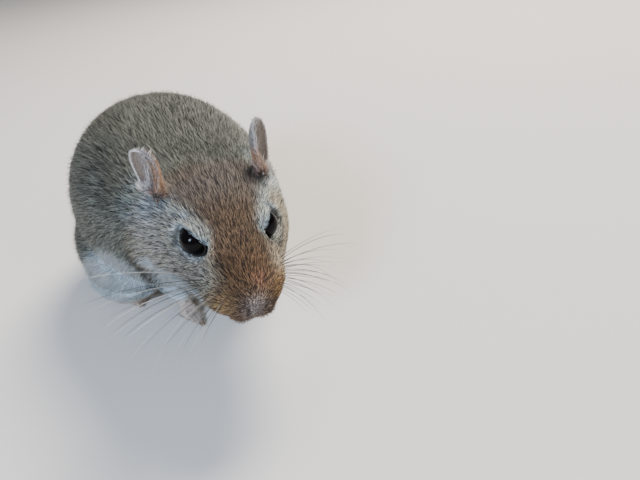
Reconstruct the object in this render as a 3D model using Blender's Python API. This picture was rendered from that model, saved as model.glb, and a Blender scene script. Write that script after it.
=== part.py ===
"""A life-size gerbil crouching with its head lowered, in metres: one closed solid for each named part of the body.

The animal faces -Y, its left side is +X, and its feet and tail rest on z = 0. The head has a frame of its own, with
its origin at the tip of the nose, x to the animal's left, y back along the skull and z out of the brow."""

from math import cos, exp, pi, radians, sin

import bmesh
import bpy
from mathutils import Matrix, Vector, noise

MM = 0.001
GAP = 0.3 * MM
SIDES = {"right": -1, "left": 1}

# How the head is held
NOSE_TIP = Vector((-3.0, -66.0, 30.0)) * MM
HEAD_YAW, HEAD_PITCH, HEAD_ROLL = -5.0, 20.0, 9.0
HEAD_CUT = 34.0 * MM
NECK_CUT = -21.0 * MM

# The grid of the body's surface
BODY_SIDES = 36
RINGS_BETWEEN = 3
# Rings before and after one, whose centres give the direction that it is set square to
RINGS_AIMED_BY = 4

# Sections of the head: distance behind the nose tip, height of the centre, half width, height over and under the
# centre, squareness, where 2 is an ellipse, and sag, the share by which the underside is wider than the middle
HEAD_SECTIONS = {
    "nose_tip": (0.0, -0.9, 0.5, 0.5, 0.5, 2.0, 0.0),
    "nose_pad": (0.9, -0.9, 3.3, 2.6, 3.0, 2.1, 0.0),
    "upper_lip": (3.2, -1.0, 6.4, 4.4, 5.4, 2.2, 0.06),
    "whisker_pads": (7.0, -0.8, 9.2, 6.2, 8.0, 2.2, 0.08),
    "bridge": (12.0, 0.2, 10.3, 7.8, 11.6, 2.4, 0.20),
    "eyes": (18.5, 1.2, 12.3, 9.2, 16.0, 2.6, 0.34),
    "cheeks": (25.0, 1.8, 15.8, 10.8, 18.4, 2.3, 0.23),
    "ears": (31.0, 1.8, 18.4, 12.0, 17.8, 2.1, 0.10),
}
# How much fuller the left cheek is than the right, and where, in the head's frame: a centre and radii
CHEEK, CHEEK_RADII = Vector((15.0, 21.0, -3.0)) * MM, Vector((9.0, 9.5, 8.0)) * MM
CHEEK_SWELL = 3.4 * MM

# Sections of the trunk: place along Y, sideways shift, height of the centre, half width, height over and under the
# centre, squareness and sag
TRUNK_SECTIONS = {
    "nape": (-27.5, -0.6, 39.4, 22.2, 16.0, 19.0, 2.1, 0.03),
    "shoulders": (-18.0, -0.2, 36.5, 26.0, 21.0, 25.0, 2.1, 0.10),
    "ribs": (-7.0, -0.3, 33.4, 29.0, 26.4, 27.0, 2.1, 0.10),
    "belly": (6.0, -0.5, 31.0, 30.6, 29.2, 28.0, 2.1, 0.10),
    "hips": (19.0, -0.5, 29.5, 30.0, 27.8, 26.5, 2.1, 0.10),
    "rump": (31.0, 0.0, 26.5, 25.5, 23.0, 23.0, 2.05, 0.05),
    "stern": (40.0, 0.0, 21.5, 16.5, 15.0, 16.0, 2.0, 0.0),
    "tail_root": (44.5, 0.0, 17.0, 6.5, 6.5, 6.5, 2.0, 0.0),
    "end": (45.8, 0.0, 16.0, 0.6, 0.6, 0.6, 2.0, 0.0),
}

# Eyes and lids, in the head's frame
EYE_CENTRE = Vector((7.7, 19.0, 5.3)) * MM
EYE_RADIUS = 3.7 * MM
EYE_AXIS = Vector((0.88, -0.42, 0.22))
LID_THICKNESS = 0.5 * MM
LID_BLEND, LID_SMOOTHINGS = 7.5 * MM, 8
LID_FRONT, LID_BACK, LID_RISE, LID_DROP = 4.1 * MM, 3.8 * MM, 3.4 * MM, 3.2 * MM
# Power of the lids' curve: 1 is an ellipse, and less is squarer
LID_CURVE, LID_SLANT = 0.9, -1.0

# Lips, chin, nostrils and mouth, in the head's frame: a centre and radii for each
LIP, LIP_RADII = Vector((2.3, 3.7, -3.3)) * MM, Vector((3.4, 3.3, 2.7)) * MM
CHIN, CHIN_RADII = Vector((0.0, 8.2, -7.6)) * MM, Vector((4.2, 5.2, 2.6)) * MM
NOSTRIL, NOSTRIL_RADII = Vector((1.7, 0.7, -0.5)) * MM, Vector((0.6, 1.2, 0.8)) * MM
CLEFT, CLEFT_RADII = Vector((0.0, 0.2, -4.4)) * MM, Vector((0.4, 1.8, 3.6)) * MM
MOUTH, MOUTH_RADII = Vector((0.0, 3.6, -7.0)) * MM, Vector((4.0, 2.6, 0.7)) * MM

# Ears, in the head's frame; each is swung back, out and round by its own angles
EAR_ROOT = Vector((14.0, 31.7, 8.6)) * MM
EAR_LENGTH, EAR_WIDTH, EAR_WALL = 13.2 * MM, 7.0 * MM, 0.9 * MM
EAR_CUP, EAR_CUP_AT_TIP = 190.0, 80.0
EAR_LEAN = {"right": 3.0, "left": -33.0}
EAR_SPLAY = {"right": 8.0, "left": -2.0}
EAR_TURN = {"right": 50.0, "left": 44.0}
EAR_ACROSS, EAR_ALONG = 10, 8
# The ear's width at its root and its swell above, as shares of its width, and the height where the swell ends
EAR_ROOT_SHARE, EAR_SWELL, EAR_SWELL_END = 0.72, 0.5, 0.87
EAR_TIP_WIDTH = 0.7 * MM

# Hind legs
THIGH_CENTRE = Vector((20.0, 12.5, 15.6)) * MM
THIGH_RADII = Vector((15.5, 24.5, 14.2)) * MM
THIGH_TILT = 8.0
SHANK_CENTRE, SHANK_RADII = Vector((21.5, 8.0, 8.4)) * MM, Vector((13.0, 19.0, 8.2)) * MM
HEEL, FOOT_TURN = Vector((21.0, 26.0, 0.0)) * MM, 4.0
# Sections of the sole: distance from the heel, half width and height
SOLE = ((0.0, 0.4, 0.8), (1.2, 2.3, 4.6), (5.0, 2.8, 6.0), (12.0, 3.3, 5.4), (19.0, 4.4, 4.2), (23.0, 4.4, 3.2))
# Toes and fingers: root sideways and along, length, and turn outwards
TOES = ((-3.7, 17.5, 5.4, 16.0), (-2.2, 22.0, 7.4, 7.0), (0.0, 23.0, 8.0, 0.0), (2.1, 22.0, 7.4, -7.0),
        (3.7, 16.5, 5.0, -16.0))
TOE_RADIUS = 1.15 * MM

# Forelegs
SHOULDER = Vector((13.0, -14.0, 20.0)) * MM
ELBOW, WRIST = Vector((14.0, -9.0, 11.0)) * MM, Vector((11.0, -15.5, 4.2)) * MM
SHOULDER_RADIUS, ELBOW_RADIUS, WRIST_RADIUS = 7.0 * MM, 4.8 * MM, 2.5 * MM
# Sections of the palm: distance from the wrist, half width and height
PALM = ((-2.6, 0.4, 1.2), (-1.6, 1.9, 4.2), (1.0, 2.5, 4.6), (4.0, 3.1, 3.4), (5.6, 2.9, 2.4))
HAND_TURN = -6.0
FINGERS = ((-2.6, 1.2, 2.4, 34.0), (-2.1, 4.6, 4.6, 12.0), (-0.7, 5.2, 5.2, 3.0), (0.8, 5.2, 5.0, -6.0),
           (2.2, 4.2, 4.0, -18.0))
FINGER_RADIUS = 0.85 * MM
CLAW_LENGTH = 2.2 * MM
# How far a digit's root is sunk, and where its knuckle lies along it
DIGIT_SUNK, KNUCKLE = 2.5, 0.55
# A digit's thickness at its root and tip, and a claw's at its root, as shares of the digit's radius
DIGIT_ROOT, DIGIT_TIP, CLAW_ROOT = 1.15, 0.9, 0.52

# Tail
TAIL_LENGTH, TAIL_ROOT, TAIL_SINK = 110.0 * MM, Vector((0.0, 34.0, 18.0)) * MM, 34.0 * MM
TAIL_RADIUS, TAIL_TIP_RADIUS, TAIL_TURN = 3.9 * MM, 1.8 * MM, 42.0
TAIL_RINGS, TAIL_SIDES = 34, 12
TAIL_CUTS = (0.40, 0.72)
TAIL_STEPS = 60
TUFT_START, TUFT_END, TUFT_LOCKS = 0.72, 0.985, 40
LOCK_LENGTH, LOCK_WIDTH = 11.0 * MM, 2.5 * MM
# How far a lock stands out at first and how much it bends back, as shares of its length
LOCK_RISE, LOCK_BEND = 0.44, 0.20
GOLDEN_TURN = 137.5


def clear_scene():
    for old in list(bpy.data.objects):
        bpy.data.objects.remove(old)


def finish_of(name, colour, roughness):
    """A Principled material in one plain colour, given as sRGB hex."""
    made = bpy.data.materials.new(name)
    made.use_nodes = True
    shader = made.node_tree.nodes["Principled BSDF"]
    channels = [int(colour[i : i + 2], 16) / 255 for i in (0, 2, 4)]
    shader.inputs["Base Color"].default_value = (*[c**2.2 for c in channels], 1.0)
    shader.inputs["Roughness"].default_value = roughness
    return made


def object_from(bm, name):
    """An object that takes over a bmesh, with its faces pointing out."""
    bmesh.ops.recalc_face_normals(bm, faces=bm.faces)
    mesh = bpy.data.meshes.new(name)
    bm.to_mesh(mesh)
    bm.free()
    made = bpy.data.objects.new(name, mesh)
    bpy.context.scene.collection.objects.link(made)
    return made


def apply_modifiers(thing):
    """Turns what the viewport shows of an object into its mesh."""
    graph = bpy.context.evaluated_depsgraph_get()
    mesh = bpy.data.meshes.new_from_object(thing.evaluated_get(graph))
    thing.modifiers.clear()
    thing.data = mesh
    keep_largest(thing)


def keep_largest(thing):
    """Leaves an object the closed surface that has the most faces."""
    bm = bmesh.new()
    bm.from_mesh(thing.data)
    left, islands = set(bm.faces), []
    while left:
        stack, island = [left.pop()], []
        while stack:
            face = stack.pop()
            island.append(face)
            for edge in face.edges:
                for other in edge.link_faces:
                    if other in left:
                        left.remove(other)
                        stack.append(other)
        islands.append(island)
    largest = max(islands, key=lambda island: sum(face.calc_area() for face in island))
    scraps = [face for island in islands if island is not largest for face in island]
    bmesh.ops.delete(bm, geom=scraps, context="FACES")
    bm.to_mesh(thing.data)
    bm.free()


def join(thing, pieces):
    """Unites an object with closed pieces by one Boolean, and removes the pieces.

    The solver is MANIFOLD, here and in cut, because EXACT leaves the head in two bodies."""
    group = bpy.data.collections.new("pieces_of_" + thing.name)
    bpy.context.scene.collection.children.link(group)
    for piece in pieces:
        bpy.context.scene.collection.objects.unlink(piece)
        group.objects.link(piece)
    union = thing.modifiers.new("union", "BOOLEAN")
    union.operand_type, union.collection, union.operation = "COLLECTION", group, "UNION"
    union.solver = "MANIFOLD"
    apply_modifiers(thing)
    for piece in pieces:
        bpy.data.objects.remove(piece)
    bpy.data.collections.remove(group)
    return thing


def cut(thing, cutters, remove=True):
    """Takes each closed cutter out of an object."""
    for cutter in cutters:
        difference = thing.modifiers.new("cut", "BOOLEAN")
        difference.object, difference.operation = cutter, "DIFFERENCE"
        difference.solver = "MANIFOLD"
        apply_modifiers(thing)
        if remove:
            bpy.data.objects.remove(cutter)
    return thing


def copy_of(thing, name, swell=0.0):
    """A copy of an object whose surface is moved out by swell."""
    bm = bmesh.new()
    bm.from_mesh(thing.data)
    bmesh.ops.triangulate(bm, faces=bm.faces)
    bm.normal_update()
    moves = {vert: vert.normal * swell for vert in bm.verts}
    for vert, move in moves.items():
        vert.co += move
    return object_from(bm, name)


def slice_of(thing, name, cuts):
    """A copy of an object, kept on the side that each cut's normal points to, and capped there."""
    bm = bmesh.new()
    bm.from_mesh(thing.data)
    for point, normal in cuts:
        sides = bmesh.ops.bisect_plane(
            bm, geom=[*bm.verts, *bm.edges, *bm.faces], plane_co=point, plane_no=-normal, clear_outer=True
        )
        rim = [e for e in sides["geom_cut"] if isinstance(e, bmesh.types.BMEdge) and e.is_boundary]
        if rim:
            bmesh.ops.triangle_fill(bm, edges=rim, use_beauty=True, normal=-normal)
    return object_from(bm, name)


def head_frame():
    turn = Matrix.Rotation(radians(HEAD_YAW), 4, "Z") @ Matrix.Rotation(radians(HEAD_PITCH), 4, "X")
    return Matrix.Translation(NOSE_TIP) @ turn @ Matrix.Rotation(radians(HEAD_ROLL), 4, "Y")


def mirrored(point, side):
    return Vector((point.x * side, point.y, point.z))


def between(a, b, c, d, t):
    """The Catmull-Rom value between b and c."""
    return 0.5 * (2 * b + (c - a) * t + (2 * a - 5 * b + 4 * c - d) * t**2 + (3 * b - a - 3 * c + d) * t**3)


def body_sections():
    """[centre, half width, height over, height under, squareness, sag, roll] of each section, from nose to tail."""
    frame, found = head_frame(), []
    for back, level, width, over, under, power, sag in HEAD_SECTIONS.values():
        centre = frame @ (Vector((0, back, level)) * MM)
        found.append([centre, width * MM, over * MM, under * MM, power, sag, radians(HEAD_ROLL)])
    for along, shift, level, width, over, under, power, sag in TRUNK_SECTIONS.values():
        centre = Vector((shift, along, level)) * MM
        found.append([centre, width * MM, over * MM, under * MM, power, sag, 0.0])
    return found


def signed_power(value, power):
    return abs(value) ** power * (1 if value >= 0 else -1)


def section_ring(centre, along, width, over, under, power, sag, roll):
    """The points of one section, set square to the direction along and rolled about it."""
    right = along.cross(Vector((0, 0, 1))).normalized()
    up = right.cross(along).normalized()
    spin = Matrix.Rotation(roll, 3, along)
    right, up = spin @ right, spin @ up
    ring = []
    for k in range(BODY_SIDES):
        turn = 2 * pi * k / BODY_SIDES
        side = width * (1 - sag * sin(turn)) * signed_power(cos(turn), 2 / power)
        rise = (over if sin(turn) >= 0 else under) * signed_power(sin(turn), 2 / power)
        ring.append(centre + right * side + up * rise)
    return ring


def with_full_cheek(ring):
    """A ring whose points are moved to the animal's left where that cheek is fuller."""
    frame, moved = head_frame(), []
    for point in ring:
        place = frame.inverted() @ point
        away = sum(((a - c) / r) ** 2 for a, c, r in zip(place, CHEEK, CHEEK_RADII))
        moved.append(frame @ (place + Vector((CHEEK_SWELL * exp(-away), 0, 0))))
    return moved


def tube_through(rings):
    """A closed bmesh of rings of points, bridged in turn and capped at both ends."""
    bm = bmesh.new()
    loops = [[bm.verts.new(p) for p in ring] for ring in rings]
    for first, second in zip(loops, loops[1:]):
        for k in range(len(first)):
            after = (k + 1) % len(first)
            bm.faces.new((first[k], first[after], second[after], second[k]))
    for end in (loops[0], loops[-1]):
        bmesh.ops.poke(bm, faces=[bm.faces.new(end)])
    return bm


def body_rings():
    """Rings along the whole body, spaced evenly between its named sections."""
    sections = body_sections()
    padded = [sections[0], *sections, sections[-1]]
    steps = []
    for i in range(len(sections) - 1):
        four = padded[i : i + 4]
        for k in range(RINGS_BETWEEN):
            steps.append([between(*[s[n] for s in four], k / RINGS_BETWEEN) for n in range(7)])
    steps.append(list(sections[-1]))
    rings = []
    for i, step in enumerate(steps):
        before = steps[max(i - RINGS_AIMED_BY, 0)][0]
        after = steps[min(i + RINGS_AIMED_BY, len(steps) - 1)][0]
        ring = section_ring(step[0], (after - before).normalized(), *step[1:])
        rings.append(with_full_cheek(ring))
    return rings


def ball(name, centre, radii, turn=None, cuts=2):
    """An ellipsoid made from an icosphere."""
    bm = bmesh.new()
    bmesh.ops.create_icosphere(bm, subdivisions=cuts, radius=1.0)
    bmesh.ops.scale(bm, vec=radii, verts=bm.verts)
    if turn is not None:
        bmesh.ops.transform(bm, matrix=turn, verts=bm.verts)
    bmesh.ops.translate(bm, vec=centre, verts=bm.verts)
    return object_from(bm, name)


def aimed(axis, slant):
    """A turn that points z along the axis, with y near the axis's own uphill, then slanted about the axis."""
    z = axis.normalized()
    y = (Vector((0, 1, 0)) - z * z.y).normalized()
    x = y.cross(z)
    turn = Matrix((x, y, z)).transposed().to_4x4()
    return turn @ Matrix.Rotation(radians(slant), 4, "Z")


def lid_opening(side):
    """A prism along the eye's axis whose section is the rounded opening between the lids, pointed at both ends."""
    bm = bmesh.new()
    outline, steps = [], 20
    for k in range(steps):
        turn = 2 * pi * k / steps
        along = (LID_BACK if cos(turn) >= 0 else LID_FRONT) * cos(turn)
        across = (LID_DROP if sin(turn) >= 0 else LID_RISE) * signed_power(sin(turn), LID_CURVE)
        outline.append(bm.verts.new((across * side, along, 0)))
    base = bm.faces.new(outline)
    reach = 4 * EYE_RADIUS
    top = bmesh.ops.extrude_face_region(bm, geom=[base])
    bmesh.ops.translate(bm, vec=(0, 0, reach), verts=[v for v in top["geom"] if isinstance(v, bmesh.types.BMVert)])
    axis = mirrored(EYE_AXIS, side)
    frame = head_frame() @ Matrix.Translation(mirrored(EYE_CENTRE, side)) @ aimed(axis, LID_SLANT * side)
    bmesh.ops.transform(bm, matrix=frame, verts=bm.verts)
    return object_from(bm, "opening")


def blend_lids(head, centres):
    """Smooths the brow and cheek into the lids, and keeps the lids' thickness over each eye."""
    bm = bmesh.new()
    bm.from_mesh(head.data)
    least = EYE_RADIUS + GAP + LID_THICKNESS
    near = [v for v in bm.verts if min((v.co - c).length for c in centres) < LID_BLEND]
    for _ in range(LID_SMOOTHINGS):
        bmesh.ops.smooth_vert(bm, verts=near, factor=0.5, use_axis_x=True, use_axis_y=True, use_axis_z=True)
    for vert in near:
        centre = min(centres, key=lambda c: (vert.co - c).length)
        out = vert.co - centre
        if out.length < least:
            vert.co = centre + out.normalized() * least
    bm.to_mesh(head.data)
    bm.free()


def head_with_face(head):
    """The head with its lids, eye sockets, lips, chin, nostrils and mouth."""
    frame = head_frame()
    turn = frame.to_3x3().to_4x4()
    centres = [frame @ mirrored(EYE_CENTRE, side) for side in SIDES.values()]
    lid_radii, socket_radii = Vector((EYE_RADIUS + GAP + LID_THICKNESS,) * 3), Vector((EYE_RADIUS + GAP,) * 3)
    join(head, [ball("lids", centre, lid_radii, cuts=3) for centre in centres])
    blend_lids(head, centres)
    sockets = []
    for side, centre in zip(SIDES.values(), centres):
        sockets.append(join(ball("socket", centre, socket_radii, cuts=3), [lid_opening(side)]))
    cut(head, sockets)
    lips = [ball("lip", frame @ mirrored(LIP, side), LIP_RADII, turn) for side in SIDES.values()]
    join(head, [*lips, ball("chin", frame @ CHIN, CHIN_RADII, turn)])
    holes = [ball("nostril", frame @ mirrored(NOSTRIL, side), NOSTRIL_RADII, turn) for side in SIDES.values()]
    holes.append(ball("cleft", frame @ CLEFT, CLEFT_RADII, turn))
    holes.append(ball("mouth", frame @ MOUTH, MOUTH_RADII, turn, 3))
    return cut(head, holes)


def ear_of(side, name):
    """A cupped pinna: a sheet bent round its long axis, narrow at the root and rounded at the tip, with a wall."""
    bm = bmesh.new()
    grid = []
    for row in range(EAR_ALONG + 1):
        rise = row / EAR_ALONG
        height = EAR_LENGTH * sin(rise * pi / 2)
        swell = EAR_ROOT_SHARE + EAR_SWELL * sin(pi * min(rise / EAR_SWELL_END, 1.0))
        half = max(EAR_WIDTH / 2 * swell * cos(rise**3 * pi / 2) ** 0.5, EAR_TIP_WIDTH / 2)
        bend = radians(EAR_CUP + (EAR_CUP_AT_TIP - EAR_CUP) * rise)
        line = []
        for k in range(EAR_ACROSS + 1):
            share = 2 * k / EAR_ACROSS - 1
            radius = 2 * half / bend
            turn = share * bend / 2
            line.append(bm.verts.new((radius * sin(turn) * side, radius * (cos(turn) - cos(bend / 2)), height)))
        grid.append(line)
    for low, high in zip(grid, grid[1:]):
        for k in range(EAR_ACROSS):
            bm.faces.new((low[k], low[k + 1], high[k + 1], high[k]))
    word = "left" if side > 0 else "right"
    turn = Matrix.Rotation(radians(EAR_SPLAY[word] * side), 4, "Y")
    turn = turn @ Matrix.Rotation(radians(EAR_LEAN[word]), 4, "X")
    turn = turn @ Matrix.Rotation(radians(EAR_TURN[word] * side), 4, "Z")
    frame = head_frame() @ Matrix.Translation(mirrored(EAR_ROOT, side)) @ turn
    bmesh.ops.transform(bm, matrix=frame, verts=bm.verts)
    ear = object_from(bm, name)
    wall = ear.modifiers.new("wall", "SOLIDIFY")
    wall.thickness, wall.offset = EAR_WALL, 0.0
    apply_modifiers(ear)
    return ear


def bar(name, ends, radii, sides=12, steps=4):
    """A rounded bar between two points, swollen or tapered as its radii say."""
    start, finish = ends
    along = (finish - start).normalized()
    across = along.orthogonal().normalized()
    other = along.cross(across)
    rings, caps = [], [(-0.92, 0.4), (-0.5, 0.87)]
    places = [(start + along * radii[0] * d, radii[0] * r) for d, r in caps]
    for k in range(steps + 1):
        share = k / steps
        places.append((start.lerp(finish, share), radii[0] + (radii[1] - radii[0]) * share))
    places += [(finish - along * radii[1] * d, radii[1] * r) for d, r in reversed(caps)]
    for centre, radius in places:
        turns = [2 * pi * k / sides for k in range(sides)]
        rings.append([centre + (across * cos(t) + other * sin(t)) * radius for t in turns])
    return object_from(tube_through(rings), name)


def flat_limb(name, sections, sides=14):
    """A low arched form on the floor: each section has a distance, a half width and a height."""
    rings = []
    for along, width, height in sections:
        ring = []
        for k in range(sides):
            turn = 2 * pi * k / sides
            side = width * MM * signed_power(cos(turn), 0.8)
            rise = height * MM * (0.42 + 0.58 * signed_power(sin(turn), 0.9))
            ring.append(Vector((side, -along * MM, rise)))
        rings.append(ring)
    return object_from(tube_through(rings), name)


def digit(name, root, length, radius, turn):
    """A finger or toe lying on the floor, with its claw, rooted in the palm or sole."""
    direction = Vector((-sin(radians(turn)), -cos(radians(turn)), 0))
    start = Vector((root[0], -root[1], 0)) * MM + Vector((0, 0, radius * 0.95)) - direction * DIGIT_SUNK * MM
    knuckle = start + direction * (length * KNUCKLE + DIGIT_SUNK) * MM + Vector((0, 0, radius * 0.35))
    tip = start + direction * (length + DIGIT_SUNK) * MM - Vector((0, 0, radius * 0.08))
    first = bar(name, (start, knuckle), (radius * DIGIT_ROOT, radius), 7, 1)
    second = bar(name, (knuckle, tip), (radius, radius * DIGIT_TIP), 7, 1)
    claw = claw_at(tip + direction * radius * 0.2, direction, radius)
    return [first, second, claw]


def claw_at(root, direction, radius):
    """A small curved spike that starts inside the tip of a digit."""
    rings, steps, sides = [], 3, 5
    across = direction.cross(Vector((0, 0, 1)))
    for k in range(steps + 1):
        share = k / steps
        thick = radius * CLAW_ROOT * (1 - 0.86 * share)
        drop = Vector((0, 0, radius * (0.35 - 0.55 * share**2)))
        centre = root + direction * CLAW_LENGTH * share + drop
        turns = [2 * pi * s / sides for s in range(sides)]
        rings.append([centre + across * thick * cos(t) + Vector((0, 0, thick * sin(t))) for t in turns])
    return object_from(tube_through(rings), "claw")


def place(pieces, origin, turn):
    frame = Matrix.Translation(origin) @ Matrix.Rotation(radians(turn), 4, "Z")
    for piece in pieces:
        piece.data.transform(frame)


def thigh_tilt():
    return Matrix.Rotation(radians(THIGH_TILT), 4, "X")


def hind_leg(side, name, trunk_cutter):
    foot = flat_limb("sole", SOLE)
    toes = [piece for x, y, length, turn in TOES for piece in
            digit("toe", (x * side, y), length, TOE_RADIUS, turn * -side)]
    place([foot, *toes], mirrored(HEEL, side), FOOT_TURN * side)
    thigh = ball(name, mirrored(THIGH_CENTRE, side), THIGH_RADII, thigh_tilt(), 4)
    join(thigh, [ball("shank", mirrored(SHANK_CENTRE, side), SHANK_RADII, cuts=3), foot, *toes])
    return cut(thigh, [trunk_cutter], remove=False)


def foreleg(side, name, trunk_cutter):
    palm = flat_limb("palm", PALM)
    fingers = [piece for x, y, length, turn in FINGERS for piece in
               digit("finger", (x * side, y), length, FINGER_RADIUS, turn * -side)]
    wrist = mirrored(WRIST, side)
    place([palm, *fingers], Vector((wrist.x, wrist.y, 0)), HAND_TURN * side)
    elbow = mirrored(ELBOW, side)
    upper = bar(name, (mirrored(SHOULDER, side), elbow), (SHOULDER_RADIUS, ELBOW_RADIUS), 16)
    lower = bar("forearm", (elbow, wrist), (ELBOW_RADIUS, WRIST_RADIUS), 14)
    join(upper, [lower, palm, *fingers])
    cut(upper, [trunk_cutter], remove=False)
    clear = Vector((GAP, GAP, GAP)) * 1.5
    thigh = ball("thigh_clearance", mirrored(THIGH_CENTRE, side), THIGH_RADII + clear, thigh_tilt(), 4)
    shank = ball("shank_clearance", mirrored(SHANK_CENTRE, side), SHANK_RADII + clear, cuts=4)
    return cut(upper, [thigh, shank])


def tail_point(share):
    """A point of the tail's centre line: it drops from the rump to the floor, then curves to the animal's left."""
    drop = min(share * TAIL_LENGTH / TAIL_SINK, 1.0)
    ease = drop * drop * (3 - 2 * drop)
    radius = tail_radius(share)
    point, count = Vector((TAIL_ROOT.x, TAIL_ROOT.y, 0)), share * TAIL_STEPS
    for k in range(int(count) + 1):
        heading = radians(TAIL_TURN) * (k / TAIL_STEPS) ** 1.3
        stride = TAIL_LENGTH / TAIL_STEPS * min(count - k, 1.0)
        point = point + Vector((sin(heading), cos(heading), 0)) * stride
    point.z = TAIL_ROOT.z + (radius * 0.94 - TAIL_ROOT.z) * ease
    return point


def tail_radius(share):
    return TAIL_RADIUS * (1 - share) ** 6 + TAIL_RADIUS + (TAIL_TIP_RADIUS - TAIL_RADIUS) * share


def tail_frame(share):
    """Centre, direction, level sideways direction and up of the tail at a share of its length."""
    step = 1 / TAIL_STEPS
    low, high = tail_point(max(share - step, 0)), tail_point(min(share + step, 1))
    along = (high - low).normalized()
    side = along.cross(Vector((0, 0, 1))).normalized()
    return tail_point(share), along, side, side.cross(along)


def tail_solid():
    rings = []
    for k in range(TAIL_RINGS + 1):
        share = k / TAIL_RINGS
        centre, along, side, up = tail_frame(share)
        radius = tail_radius(share)
        turns = [2 * pi * s / TAIL_SIDES for s in range(TAIL_SIDES)]
        rings.append([centre + (side * cos(t) + up * sin(t)) * radius for t in turns])
    return object_from(tube_through(rings), "tail")


def tuft_lock(index):
    """One flat, tapered lock of the tail's brush, swept back along it and bent towards its end."""
    share = TUFT_START + (TUFT_END - TUFT_START) * index / (TUFT_LOCKS - 1)
    centre, along, side, up = tail_frame(share)
    turn = index * radians(GOLDEN_TURN)
    out = side * cos(turn) + up * sin(turn)
    across = out.cross(along)
    length = LOCK_LENGTH * (0.85 + 0.3 * noise.random())
    root = centre + out * tail_radius(share) * 0.45
    rings, steps = [], 4
    for k in range(steps + 1):
        t = k / steps
        middle = root + along * length * t + out * length * (LOCK_RISE * t - LOCK_BEND * t * t)
        middle.z = max(middle.z, LOCK_WIDTH * 0.3)
        half = LOCK_WIDTH * (1 - 0.88 * t**2) / 2
        thick = half * 0.34 + 0.1 * MM
        rings.append([middle + across * half, middle + out * thick, middle - across * half, middle - out * thick])
    return object_from(tube_through(rings), "lock")


def tail_nodes(trunk_cutter):
    noise.seed_set(7)
    whole = tail_solid()
    bounds = []
    for share in TAIL_CUTS:
        centre, along, _, _ = tail_frame(share)
        bounds.append((centre, along))
    first, second = bounds
    floor = (Vector((0, 0, 0)), Vector((0, 0, 1)))
    base = slice_of(whole, "tail_base", [(first[0] - first[1] * GAP / 2, -first[1]), floor])
    middle = slice_of(whole, "tail_middle", [(first[0] + first[1] * GAP / 2, first[1]),
                                             (second[0] - second[1] * GAP / 2, -second[1]), floor])
    tip = slice_of(whole, "tip", [(second[0] + second[1] * GAP / 2, second[1])])
    join(tip, [tuft_lock(k) for k in range(TUFT_LOCKS)])
    brush = slice_of(tip, "tail_tip", [floor])
    for spent in (whole, tip):
        bpy.data.objects.remove(spent)
    cut(base, [trunk_cutter], remove=False)
    return [base, middle, brush]


def stand_on_floor(nodes):
    """Cuts every limb level with the floor, so that it rests on small flats."""
    for thing in nodes:
        flat = slice_of(thing, thing.name + "_flat", [(Vector((0, 0, 0)), Vector((0, 0, 1)))])
        name, mesh = thing.name, flat.data
        thing.data = mesh
        bpy.data.objects.remove(flat)
        thing.name = name


def shade(nodes, finish):
    for thing in nodes:
        thing.data.materials.clear()
        thing.data.materials.append(finish)
        thing.data.shade_smooth()


def centre_on_origin(nodes):
    """Moves every solid so that the box round them stands on the origin."""
    points = [v.co for thing in nodes for v in thing.data.vertices]
    low = Vector([min(p[i] for p in points) for i in range(3)])
    high = Vector([max(p[i] for p in points) for i in range(3)])
    move = Matrix.Translation(-Vector(((low.x + high.x) / 2, (low.y + high.y) / 2, low.z)))
    for thing in nodes:
        thing.data.transform(move)
    print("moved by", move.translation)


def main():
    clear_scene()
    whole = object_from(tube_through(body_rings()), "whole")
    frame = head_frame()
    head_point, head_normal = frame @ Vector((0, HEAD_CUT, 0)), frame.to_3x3() @ Vector((0, -1, 0))
    neck_point, back = Vector((0, NECK_CUT, 0)), Vector((0, 1, 0))
    half = GAP / 2
    head = slice_of(whole, "head", [(head_point + head_normal * half, head_normal)])
    neck = slice_of(whole, "neck", [(head_point - head_normal * half, -head_normal), (neck_point - back * half, -back)])
    torso = slice_of(whole, "torso", [(neck_point + back * half, back)])
    cutter = copy_of(whole, "cutter", GAP)
    bpy.data.objects.remove(whole)
    head_with_face(head)
    eyes, ears, legs = [], [], []
    for word, side in SIDES.items():
        eyes.append(ball("eye_" + word, frame @ mirrored(EYE_CENTRE, side), Vector((EYE_RADIUS,) * 3), cuts=3))
        ears.append(cut(ear_of(side, "ear_" + word), [cutter], remove=False))
        legs.append(hind_leg(side, "hind_leg_" + word, cutter))
        legs.append(foreleg(side, "foreleg_" + word, cutter))
    tail = tail_nodes(cutter)
    bpy.data.objects.remove(cutter)
    stand_on_floor(legs)
    shade([head, neck, torso, *legs, *tail], finish_of("short_fur", "7d7261", 0.85))
    shade(ears, finish_of("ear_skin", "b49a90", 0.6))
    shade(eyes, finish_of("eye_black", "0a0a0c", 0.1))
    centre_on_origin([head, neck, torso, *eyes, *ears, *legs, *tail])


main()
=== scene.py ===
"""The gerbil's looks: one skin over the solid body, a coat of fine tufts that follows its lie, ears, eyes,
whiskers and claws.

Metres, +Z up; the animal faces -Y and its left side is +X. The head has a frame of its own, with its origin
at the tip of the nose, x to the animal's left, y back along the skull and z out of the brow. Places on the
animal and measures of the coat are in millimetres, in that frame or in the solid model's own."""

from math import cos, pi, radians, sin

import bmesh
import bpy
import numpy as np
from mathutils import Matrix, Vector
from mathutils.kdtree import KDTree


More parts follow.
